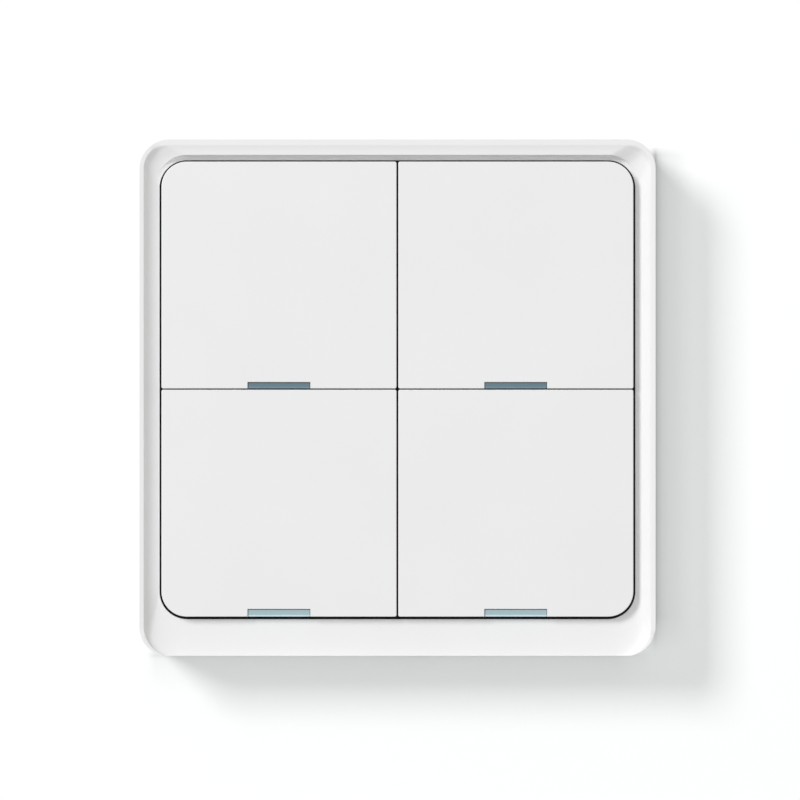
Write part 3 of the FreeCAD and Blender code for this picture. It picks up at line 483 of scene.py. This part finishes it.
def closedCellFoam(look):
    material, tree, shader, where = startMaterial("foamGrey")
    pores = addCells(tree, where, look["poreSize"])
    clouds = addNoise(tree, where, look["cloudSize"])
    shade = addRamp(tree, pores, list(zip(look["poreEdge"], (look["pore"], look["colour"]))))
    white = (1, 1, 1)
    tones = addRamp(tree, clouds, [(noiseLow, shaded(white, look["cloudShade"])),
                                   (noiseHigh, white)])
    tree.links.new(addMix(tree, 1, shade, tones, "MULTIPLY"), shader.inputs["Base Color"])
    tree.links.new(addRange(tree, clouds, *look["rough"]), shader.inputs["Roughness"])
    shader.inputs["Specular IOR Level"].default_value = look["specular"]
    addRelief(tree, shader, [(pores, look["poreDepth"])])
    return material


finishes["foamGrey"] = closedCellFoam(foamLook)


# Light guides: clear bars, teal under the upper keys and pale blue under the lower ones
# the upper bars' darker teal is painted shade and the lower bars' paler blue painted light
guideLooks = {
    "guideUpper": {"bottom": 1.5, "height": 1.0,
                   "bands": [(0.0, (0.24, 0.31, 0.35)), (0.2, (0.16, 0.235, 0.28)),
                             (0.4, (0.115, 0.205, 0.25)), (0.75, (0.11, 0.195, 0.235)),
                             (0.9, (0.12, 0.165, 0.185)), (1.0, (0.19, 0.22, 0.24))]},
    "guideLower": {"bottom": -36.4, "height": 1.2,
                   "bands": [(0.0, (0.78, 0.92, 0.97)), (0.12, (0.62, 0.78, 0.84)),
                             (0.3, (0.37, 0.52, 0.56)), (0.8, (0.36, 0.49, 0.53)),
                             (0.95, (0.36, 0.44, 0.45)), (1.0, (0.46, 0.50, 0.46))]},
}
guidePlastic = {"waver": 0.12, "waverSize": 2.2, "rough": (0.12, 0.22), "roughPatch": 1.5,
                "ior": 1.5, "grain": 0.8, "relief": 0.003}


def clearGuide(name, look):
    # bands of colour up the bar's face, whose edges waver a little; the pale lowest band is a
    # painted highlight and the greyer band near the top painted shade
    material, tree, shader, where = startMaterial(name)
    waver = addMath(tree, "MULTIPLY_ADD", addNoise(tree, where, guidePlastic["waverSize"], 2),
                    guidePlastic["waver"], splitPlace(tree, where)["Z"])
    bottom = look["bottom"] + guidePlastic["waver"] / 2
    height = addRange(tree, waver, 0, 1, bottom, bottom + look["height"])
    tree.links.new(addRamp(tree, height, look["bands"]), shader.inputs["Base Color"])
    tree.links.new(addRange(tree, addNoise(tree, where, guidePlastic["roughPatch"]),
                            *guidePlastic["rough"]), shader.inputs["Roughness"])
    shader.inputs["IOR"].default_value = guidePlastic["ior"]
    addRelief(tree, shader, [(addNoise(tree, where, guidePlastic["grain"], 2),
                              guidePlastic["relief"])])
    return material


finishes.update({name: clearGuide(name, look) for name, look in guideLooks.items()})
print("materials ready:", len(finishes))


# Working steps shared by the pieces
meshCare = {"slack": 0.004, "cornerSlack": 0.0004, "copyMerge": 0.001, "lastMerge": 0.0005,
            "flatWithin": 0.4, "smoothUnder": 30}


def camelName(nodeName):
    first, *others = nodeName.split("_")
    return first + "".join(word.title() for word in others)


def pickUp(piece, *others):
    bpy.ops.object.select_all(action="DESELECT")
    for part in (*others, piece):
        part.select_set(True)
    bpy.context.view_layer.objects.active = piece


def choose(piece, kind, fits):
    # in edit mode: selects just the verts, edges or faces that fit
    bpy.ops.mesh.select_mode(type={"verts": "VERT", "edges": "EDGE", "faces": "FACE"}[kind])
    bpy.ops.mesh.select_all(action="DESELECT")
    mesh = bmesh.from_edit_mesh(piece.data)
    for part in getattr(mesh, kind):
        if fits(part):
            part.select_set(True)
    bmesh.update_edit_mesh(piece.data)


def near(value, target, slack=meshCare["slack"]):
    return abs(value - target * mm) < slack * mm


def joinPieces(first, others):
    pickUp(first, *others)
    bpy.ops.object.join()


def applyModifier(piece, modifier):
    bpy.context.view_layer.objects.active = piece
    bpy.ops.object.modifier_apply(modifier=modifier.name)


def applyBoolean(piece, tool, operation):
    cut = piece.modifiers.new("cut", "BOOLEAN")
    cut.operation = operation
    cut.solver = "EXACT"
    cut.object = tool
    applyModifier(piece, cut)
    bpy.data.objects.remove(tool, do_unlink=True)


def applyBevel(piece, width, segments, angle):
    soften = piece.modifiers.new("soften", "BEVEL")
    soften.width = width * mm
    soften.segments = segments
    soften.limit_method = "ANGLE"
    soften.angle_limit = math.radians(angle)
    soften.use_clamp_overlap = False
    applyModifier(piece, soften)


def finishPiece(piece, name, body, nodes, finish, angle=meshCare["smoothUnder"]):
    pickUp(piece)
    bpy.ops.object.transform_apply(location=True, rotation=True, scale=True)
    bpy.ops.object.mode_set(mode="EDIT")
    bpy.ops.mesh.select_all(action="SELECT")
    bpy.ops.mesh.remove_doubles(threshold=meshCare["lastMerge"] * mm)
    bpy.ops.mesh.normals_make_consistent(inside=False)
    bpy.ops.object.mode_set(mode="OBJECT")
    bpy.ops.object.shade_smooth_by_angle(angle=math.radians(angle))
    even = piece.modifiers.new("even", "WEIGHTED_NORMAL")
    even.keep_sharp = True
    applyModifier(piece, even)
    piece.name = name
    piece.data.name = name
    piece.data.materials.clear()
    piece.data.materials.append(finishes[finish])
    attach(piece, body)
    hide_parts(*nodes)


def emptyPiece(name):
    piece = bpy.data.objects.new(name, bpy.data.meshes.new(name))
    bpy.context.scene.collection.objects.link(piece)
    pickUp(piece)
    return piece


def copyOfNode(nodeName, pieceName, mergeFlats=True):
    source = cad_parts[nodeName]
    piece = bpy.data.objects.new(pieceName, source.data.copy())
    piece.matrix_world = source.matrix_world.copy()
    bpy.context.scene.collection.objects.link(piece)
    pickUp(piece)
    bpy.ops.mesh.customdata_custom_splitnormals_clear()
    bpy.ops.object.mode_set(mode="EDIT")
    bpy.ops.mesh.select_all(action="SELECT")
    bpy.ops.mesh.remove_doubles(threshold=meshCare["copyMerge"] * mm)
    if mergeFlats:
        bpy.ops.mesh.dissolve_limited(angle_limit=math.radians(meshCare["flatWithin"]))
    bpy.ops.object.mode_set(mode="OBJECT")
    return piece


def boxBlock(left, right, back, front, bottom, top):
    # a block between two depths from the wall
    bpy.ops.object.select_all(action="DESELECT")
    middle = ((left + right) / 2 * mm, -(back + front) / 2 * mm, (bottom + top) / 2 * mm)
    bpy.ops.mesh.primitive_cube_add(size=1, location=middle)
    block = bpy.context.object
    block.scale = ((right - left) * mm, (front - back) * mm, (top - bottom) * mm)
    bpy.ops.object.transform_apply(location=True, rotation=True, scale=True)
    return block


def roundOutline(piece, outline, steps):
    # edit mode: one rounded rectangle facing the room, with its own low and high corners
    left, right, bottom, top, depth, lowCorner, highCorner = outline
    middle = ((left + right) / 2 * mm, -depth * mm, (bottom + top) / 2 * mm)
    bpy.ops.mesh.primitive_plane_add(size=(right - left) * mm, location=middle,
                                     rotation=(math.radians(90), 0, 0))
    bpy.ops.transform.resize(value=(1, 1, (top - bottom) / (right - left)), center_override=middle)
    for height, corner in ((bottom, lowCorner), (top, highCorner)):
        ends = [(side, -depth, height) for side in (left, right)]
        choose(piece, "verts", lambda v: any(
            all(near(own, place, meshCare["cornerSlack"]) for own, place in zip(v.co, end))
            for end in ends))
        bpy.ops.mesh.bevel(offset=corner * mm, segments=steps, affect="VERTICES",
                           clamp_overlap=False)


def bridgeOutlines(piece, outlines, steps, ring):
    # rounded rectangles bridged one to the next; a ring closes on itself, a plug has two end faces
    def markOf():
        return bmesh.from_edit_mesh(piece.data).verts.layers.int["outline"]

    bpy.ops.object.mode_set(mode="EDIT")
    bmesh.from_edit_mesh(piece.data).verts.layers.int.new("outline")
    for number, outline in enumerate(outlines, start=1):
        roundOutline(piece, outline, steps)
        mark = markOf()
        for vert in bmesh.from_edit_mesh(piece.data).verts:
            vert[mark] = vert[mark] or number
        bmesh.update_edit_mesh(piece.data)
    bpy.ops.mesh.select_mode(type="FACE")
    bpy.ops.mesh.select_all(action="SELECT")
    bpy.ops.mesh.delete(type="ONLY_FACE")
    depths = [outline[4] for outline in outlines]
    for number in range(1, len(outlines) + (1 if ring else 0)):
        following = number % len(outlines) + 1
        mark = markOf()
        choose(piece, "edges", lambda e: e.verts[0][mark] in (number, following)
               and e.verts[0][mark] == e.verts[1][mark])
        if depths[number - 1] == depths[following - 1]:
            bpy.ops.mesh.fill()  # two outlines at one depth leave a flat band
        else:
            bpy.ops.mesh.bridge_edge_loops()
    if not ring:
        for number in (1, len(outlines)):
            mark = markOf()
            choose(piece, "edges", lambda e: all(v[mark] == number for v in e.verts))
            bpy.ops.mesh.edge_face_add()
    bpy.ops.mesh.select_all(action="SELECT")
    bpy.ops.mesh.normals_make_consistent(inside=False)
    bpy.ops.object.mode_set(mode="OBJECT")
    piece.data.attributes.remove(piece.data.attributes["outline"])


# Front frame: a rim that runs out at the chin, the cove down to the keys, the skirt with its clips
frontFrame = {
    "half": 43, "corner": 5, "wall": 1.6, "rear": 0.5, "rearRound": 0.15, "rearSteps": 3,
    "draft": 0.3, "rim": 13, "rimWidth": 0.9, "rimRound": 0.12, "rimSteps": 6, "rimTilt": 0.06,
    "innerRound": 0.05, "cornerSteps": 16,
    "coveDepth": 1.9, "sideMargin": 3.8, "ledge": 0.15, "chinOverrun": 0.2, "chinCorner": 5.2,
    "coveSteps": 20,
    "sideGap": 0.4, "topGap": 0.3, "chinGap": 0.5, "lipThickness": 0.8, "lipRelief": 1.2,
    "lipRound": 0.07, "cavityFront": 9.0,
    "fieldRight": 39.2, "fieldTop": 39.2, "fieldBottom": -36.4, "fieldCorner": 4.2,
    "clipSpread": 22, "clipWidth": 6, "clipReach": 0.5, "clipBack": 4.4, "clipFront": 5.6,
    "clipSlope": 0.35, "pryWidth": 10.4, "pryHeight": 1.3, "smoothUnder": 32,
    "scoopOver": 0.1, "pryOver": 1,  # how far the cutting blocks go past what they cut
}

# The shelf above the upper keys. A share counts down the cove, 0 at the rim and 1 at the ledge.
topShelf = {
    "inset": 1.8, "depth": 12.72, "edgeRound": 0.03, "runOut": 40, "cornerCentre": 35,
    "wallSlant": 0.12, "dishInset": 0.2, "dishRadius": 4.84,
    "dishShares": (0.0579, 0.5), "wallShares": (0.55, 0.95),
    "aboveRim": (-0.88, 13.019), "belowRim": (0.15, 12.985),  # inset and depth beside the dish
    "startShare": -0.01, "floorShare": 0.999,  # where the scoop starts, and where its floor does
    "shareSlack": 0.01,
}


def squareOutline(half, depth, corner):
    return (-half, half, -half, half, depth, corner, corner)


def windowOutline(size, margin, depth):
    # the opening round the keys, grown by a margin
    side = size["fieldRight"] + size["sideGap"] + margin
    corner = size["fieldCorner"] + size["sideGap"] + margin
    return (-side, side, size["fieldBottom"] - size["chinGap"] - margin,
            size["fieldTop"] + size["topGap"] + margin, depth, corner, corner)


def quarterTurn(steps):
    # how far across and how far up a rounded edge stands at each of its steps
    turns = [math.radians(90 * step / steps) for step in range(steps + 1)]
    return [(math.sin(turn), math.cos(turn)) for turn in turns]


def bezelOutlines(size):
    half, corner, rim, rear = size["half"], size["corner"], size["rim"], size["rear"]
    rearRound, rimRound = size["rearRound"], size["rimRound"]
    lean = (rim - rear) * math.tan(math.radians(size["draft"]))
    outlines = []
    for across, up in quarterTurn(size["rearSteps"]):  # small round at the rear edge
        inset = rearRound * (1 - across)
        outlines.append(squareOutline(half - inset, rear + rearRound * (1 - up), corner - inset))
    for across, up in quarterTurn(size["rimSteps"]):  # round at the rim's outer edge
        inset = lean + rimRound * (1 - up)
        outlines.append(squareOutline(half - inset, rim - rimRound * (1 - across), corner - inset))
    lipBack = rim - size["coveDepth"] - size["lipThickness"]
    outlines += [windowOutline(size, margin, depth) for margin, depth in (
        (0, rim), (0, lipBack), (size["lipRelief"], lipBack),
        (size["lipRelief"], size["cavityFront"]))]
    cavity, inner = half - size["wall"], corner - size["wall"]
    outlines += [squareOutline(cavity, size["cavityFront"], inner),
                 squareOutline(cavity, rear + rearRound, inner),
                 squareOutline(cavity + rearRound, rear, inner + rearRound)]
    return outlines


def coveSizes(size):
    # inside the rim: half the width, the corner, how far the sides run in, the corner at the floor
    return (size["half"] - size["rimWidth"], size["corner"] - size["rimWidth"],
            size["sideMargin"] - size["sideGap"] - size["ledge"] - size["rimWidth"],
            size["fieldCorner"] + size["sideGap"] + size["ledge"])


def coveOutlines(size, shelf):
    # what is scooped out of the front: steep under the rim, and open over the chin
    rim, depth, chinCorner, over = (size[key] for key in ("rim", "coveDepth", "chinCorner",
                                                          "scoopOver"))
    inner, rimCorner, sideRun, floorCorner = coveSizes(size)
    chinStart = size["chinGap"] + size["ledge"] - size["fieldBottom"]
    chinRun = size["half"] + size["chinOverrun"] - chinStart
    shares = [(shelf["startShare"], size["rimWidth"] - size["rimRound"] + over),
              (size["rimTilt"] / depth, size["innerRound"]),
              ((size["rimTilt"] + size["innerRound"]) / depth, 0)]
    shares += [(step / size["coveSteps"], 0) for step in range(2, size["coveSteps"] + 1)]
    outlines = []
    for share, flare in shares:
        across = max(0, share) ** 2
        side = inner + flare - across * sideRun
        bottom = -(chinStart + (1 - across ** 2) * chinRun + flare)
        outlines.append((-side, side, bottom, side, rim - share * depth,
                         chinCorner + across * (floorCorner - chinCorner),
                         rimCorner + flare + across * (floorCorner - rimCorner)))
    floor = rim - depth
    outlines += [windowOutline(size, size["lipRound"], floor),
                 windowOutline(size, -over, floor - size["lipRound"] - over)]
    return outlines


def shelfSection(size, shelf, share):
    # across the top, rim to ledge: inset from the rim's inner line, depth, corner's centre
    (dishStart, dishEnd), (wallStart, wallEnd) = shelf["dishShares"], shelf["wallShares"]
    edge, low, soft = shelf["inset"], shelf["depth"], shelf["edgeRound"]
    floor, rimCentre = size["rim"] - size["coveDepth"], size["half"] - size["corner"]
    if share < dishStart - shelf["shareSlack"]:
        return (*shelf["aboveRim" if share < 0 else "belowRim"], rimCentre)
    if share <= dishEnd:
        start, radius = shelf["dishInset"], shelf["dishRadius"]
        across = (share - dishStart) / (dishEnd - dishStart)
        inset = start + across * (edge - soft - start)
        depth = low + radius - math.sqrt(radius ** 2 - (edge - inset) ** 2)
        return inset, depth, rimCentre + across * (shelf["cornerCentre"] - rimCentre)
    if share <= wallEnd:
        down = (share - wallStart) / (wallEnd - wallStart)
        inset = edge + (down - 0.5) * shelf["wallSlant"]
        return inset, low - soft - down * (low - soft - floor), shelf["cornerCentre"]
    return None


def smoothStep(part):
    part = min(1, max(0, part))
    return part * part * (3 - 2 * part)


def shapeTopShelf(scoop, size, shelf):
    # above the upper keys the cove turns into a dished shelf, which runs out at the corners
    inner, rimCorner, sideRun, floorCorner = coveSizes(size)
    rim, coveDepth, runOut = size["rim"], size["coveDepth"], math.radians(shelf["runOut"])
    for vert in scoop.data.vertices:
        share = (rim + vert.co.y / mm) / coveDepth
        across = max(0, share) ** 2
        centre = inner - across * sideRun - rimCorner - across * (floorCorner - rimCorner)
        right, up = abs(vert.co.x) / mm - centre, vert.co.z / mm - centre
        section = shelfSection(size, shelf, share)
        if up <= 0 or section is None or share > shelf["floorShare"]:
            continue
        turn = math.atan2(up, max(0, right))
        height = smoothStep((turn - runOut) / (math.pi / 2 - runOut))
        inset, depth, middle = section
        own, floor = inner - centre - math.hypot(max(0, right), up), -vert.co.y / mm
        spread = height
        if share > shelf["dishShares"][0] + shelf["shareSlack"]:
            spread = smoothStep(turn / runOut)
            floor = rim - coveDepth * math.sqrt((own + spread * (inset - own)) / sideRun)
        middle = centre + spread * (middle - centre)
        reach = inner - own - spread * (inset - own) - middle
        vert.co = Vector((math.copysign(middle + reach * math.cos(turn), vert.co.x),
                          -floor - height * (depth - floor), middle + reach * math.sin(turn))) * mm
    scoop.data.update()


def makeClips(size):
    # eight barbs inside the skirt, each with a slope that lets the housing slide in
    cavity = size["half"] - size["wall"]
    inner, outer = cavity - size["clipReach"], cavity + size["wall"] / 2
    halfWidth = size["clipWidth"] / 2
    clips = []
    for along in (-size["clipSpread"], size["clipSpread"]):
        for toRight, toTop in ((1, 0), (-1, 0), (0, 1), (0, -1)):
            low, high = (inner, outer) if toRight + toTop > 0 else (-outer, -inner)
            span = (along - halfWidth, along + halfWidth)
            across, up = ((low, high), span) if toRight else (span, (low, high))
            clip = boxBlock(*across, size["clipBack"], size["clipFront"], *up)
            bpy.ops.object.mode_set(mode="EDIT")
            choose(clip, "edges", lambda e: all(
                near(v.co.y, -size["clipBack"]) and near(abs(v.co.x if toRight else v.co.z), inner)
                for v in e.verts))
            bpy.ops.mesh.bevel(offset=size["clipSlope"] * mm, segments=1, affect="EDGES")
            bpy.ops.object.mode_set(mode="OBJECT")
            clips.append(clip)
    joinPieces(clips[0], clips[1:])
    return clips[0]


def makeFrontFrame(size, shelf):
    bezel = emptyPiece("frontFrame")
    bridgeOutlines(bezel, bezelOutlines(size), size["cornerSteps"], ring=True)
    scoop = emptyPiece("coveScoop")
    bridgeOutlines(scoop, coveOutlines(size, shelf), size["cornerSteps"], ring=False)
    shapeTopShelf(scoop, size, shelf)
    applyBoolean(bezel, scoop, "DIFFERENCE")
    applyBoolean(bezel, makeClips(size), "UNION")
    half, over = size["half"], size["pryOver"]
    notch = boxBlock(-size["pryWidth"] / 2, size["pryWidth"] / 2, size["rear"] - over,
                     size["rear"] + size["pryHeight"], -half - over,
                     -half + size["wall"] + size["scoopOver"])
    applyBoolean(bezel, notch, "DIFFERENCE")
    finishPiece(bezel, "frontFrame", "switch_unit", ["front_frame"], "frameWhite",
                size["smoothUnder"])
    return bezel


frontPiece = makeFrontFrame(frontFrame, topShelf)
print("front frame made:", len(frontPiece.data.polygons), "faces")


# Keys: each cap is cut off behind its face and drawn out again with a rounded edge
keyCaps = {
    "middle": 19.675, "face": 12.7, "cut": 12.35, "edgeRound": 0.12, "edgeSteps": 4,
    "notchHalf": 5.2, "notchHeight": 1.35, "notchLess": {"upper": 0.3, "lower": 0.1},
    "notchFrom": 9,  # the notch's edges lie in front of this depth
    "facing": 0.9, "edgeTurn": 0.5,  # how squarely a face looks out, an edge's turn in radians
    "bodies": {"key_upper_left": "upper_left_key", "key_upper_right": "upper_right_key",
               "key_lower_left": "lower_left_key", "key_lower_right": "lower_right_key"},
}


def makeKey(nodeName, size):
    key = copyOfNode(nodeName, camelName(nodeName))
    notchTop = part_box(nodeName)[0].z / mm + size["notchHeight"]
    row = nodeName.split("_")[1]
    bpy.ops.object.mode_set(mode="EDIT")
    choose(key, "verts", lambda v: near(v.co.z, notchTop) and v.co.y < -size["notchFrom"] * mm
           and near(abs(abs(v.co.x) - size["middle"] * mm), size["notchHalf"]))
    bpy.ops.transform.translate(value=(0, 0, -size["notchLess"][row] * mm))
    bpy.ops.mesh.select_all(action="SELECT")
    bpy.ops.mesh.bisect(plane_co=(0, -size["cut"] * mm, 0), plane_no=(0, 1, 0), use_fill=True,
                        clear_inner=True)
    choose(key, "faces", lambda f: f.normal.y < -size["facing"]
           and near(f.calc_center_median().y, -size["cut"]))
    bpy.ops.mesh.extrude_region_move(
        TRANSFORM_OT_translate={"value": (0, -(size["face"] - size["cut"]) * mm, 0)})
    choose(key, "edges", lambda e: all(near(v.co.y, -size["face"]) for v in e.verts)
           and len(e.link_faces) == 2 and e.calc_face_angle(0) > size["edgeTurn"])
    bpy.ops.mesh.bevel(offset=size["edgeRound"] * mm, segments=size["edgeSteps"], affect="EDGES",
                       clamp_overlap=False)
    bpy.ops.object.mode_set(mode="OBJECT")
    finishPiece(key, camelName(nodeName), size["bodies"][nodeName], [nodeName],
                "keyWhite")
    return key


for nodeName in keyCaps["bodies"]:
    keyPiece = makeKey(nodeName, keyCaps)
    print(keyPiece.name, "made:", len(keyPiece.data.polygons), "faces")


# Light guides: a clear bar with rounded edges in each key's notch, two ears at its foot
lightGuides = {
    "half": 5.14, "front": 12.47, "back": 7.3, "earHalf": 5.85, "earBack": 6.9, "earFront": 7.4,
    "edgeRound": 0.1, "edgeSteps": 3,
    "rows": {"upper": {"bottom": 1.5, "top": 2.49, "earTop": 2.7, "finish": "guideUpper"},
             "lower": {"bottom": -36.4, "top": -35.24, "earTop": -35.24, "finish": "guideLower"}},
}


def makeGuide(row, side, size):
    level = size["rows"][row]
    middle = keyCaps["middle"] * (1 if side == "right" else -1)
    bar = boxBlock(middle - size["half"], middle + size["half"], size["back"], size["front"],
                   level["bottom"], level["top"])
    ears = boxBlock(middle - size["earHalf"], middle + size["earHalf"], size["earBack"],
                    size["earFront"], level["bottom"], level["earTop"])
    bpy.context.view_layer.objects.active = bar
    bpy.ops.object.mode_set(mode="EDIT")
    choose(bar, "edges", lambda e: any(near(v.co.y, -size["front"]) for v in e.verts))
    bpy.ops.mesh.bevel(offset=size["edgeRound"] * mm, segments=size["edgeSteps"], affect="EDGES")
    bpy.ops.object.mode_set(mode="OBJECT")
    applyBoolean(bar, ears, "UNION")
    finishPiece(bar, "guide" + row.title() + side.title(), "switch_unit",
                ["light_guide_" + row + "_" + side], level["finish"])


for row in lightGuides["rows"]:
    for side in ("left", "right"):
        makeGuide(row, side, lightGuides)
print("light guides made")


# Pieces behind: each is taken over with its sharp edges rounded.
# A row gives the body, the finish, and the width and steps of the rounding.
roundedPieces = {
    "wall_plate": ("wall_mount", "plateGrey", 0.25, 3),
    "adhesive_pads": ("wall_mount", "foamGrey", 0.15, 3),
    "rear_housing": ("switch_unit", "housingWhite", 0.2, 3),
    "housing_screws": ("switch_unit", "screwSteel", 0.12, 3),
    "key_carrier": ("switch_unit", "carrierGrey", 0.12, 2),
    "battery_holder": ("switch_unit", "holderBlack", 0.15, 2),
    "radio_module": ("switch_unit", "radioBlue", 0.06, 2),
    "radio_shield": ("switch_unit", "sheetSteel", 0.22, 3),
    "chip_antenna": ("switch_unit", "ceramicWhite", 0.06, 2),
    "storage_capacitors": ("switch_unit", "ceramicTan", 0.08, 2),
    "status_leds": ("switch_unit", "ledBody", 0.06, 2),
    "switch_covers": ("switch_unit", "sheetSteel", 0.05, 2),
    "positive_contact": ("switch_unit", "sheetSteel", 0.04, 2),
    "negative_contact": ("switch_unit", "sheetSteel", 0.04, 2),
}
rounding = {"sharpOver": 40, "smoothUnder": 35}
# flats with wide openings keep their triangles, or the rounding pulls a flat over its own outline
looseFlats = ("rear_housing", "battery_holder")


def slotName(slot):
    return slot.material.name.split(".")[0]


def makeRounded(nodeName, body, finish, edge, steps):
    piece = copyOfNode(nodeName, camelName(nodeName), nodeName not in looseFlats)
    applyBevel(piece, edge, steps, rounding["sharpOver"])
    finishPiece(piece, camelName(nodeName), body, [nodeName], finish, rounding["smoothUnder"])


for nodeName, look in roundedPieces.items():
    makeRounded(nodeName, *look)
print("pieces behind made:", len(roundedPieces))


# The CAD nodes that stay get their finish here
nodeFinishes = {
    "frame_white": "frameWhite", "key_white": "keyWhite", "housing_white": "housingWhite",
    "plate_grey": "plateGrey", "foam_grey": "foamGrey", "screw_steel": "screwSteel",
    "carrier_grey": "carrierGrey", "board_green": "boardGreen", "switch_black": "switchBlack",
    "sheet_steel": "sheetSteel", "plunger_brown": "plungerBrown", "led_body": "ledBody",
    "radio_blue": "radioBlue", "ceramic_white": "ceramicWhite", "ceramic_tan": "ceramicTan",
    "cell_steel": "cellSteel", "holder_black": "holderBlack", "guide_clear": "guideUpper",
}
for nodeName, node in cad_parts.items():
    for slot in node.material_slots:
        finish = nodeFinishes[slotName(slot)]
        if nodeName.startswith("light_guide_lower"):
            finish = "guideLower"
        slot.material = finishes[finish]
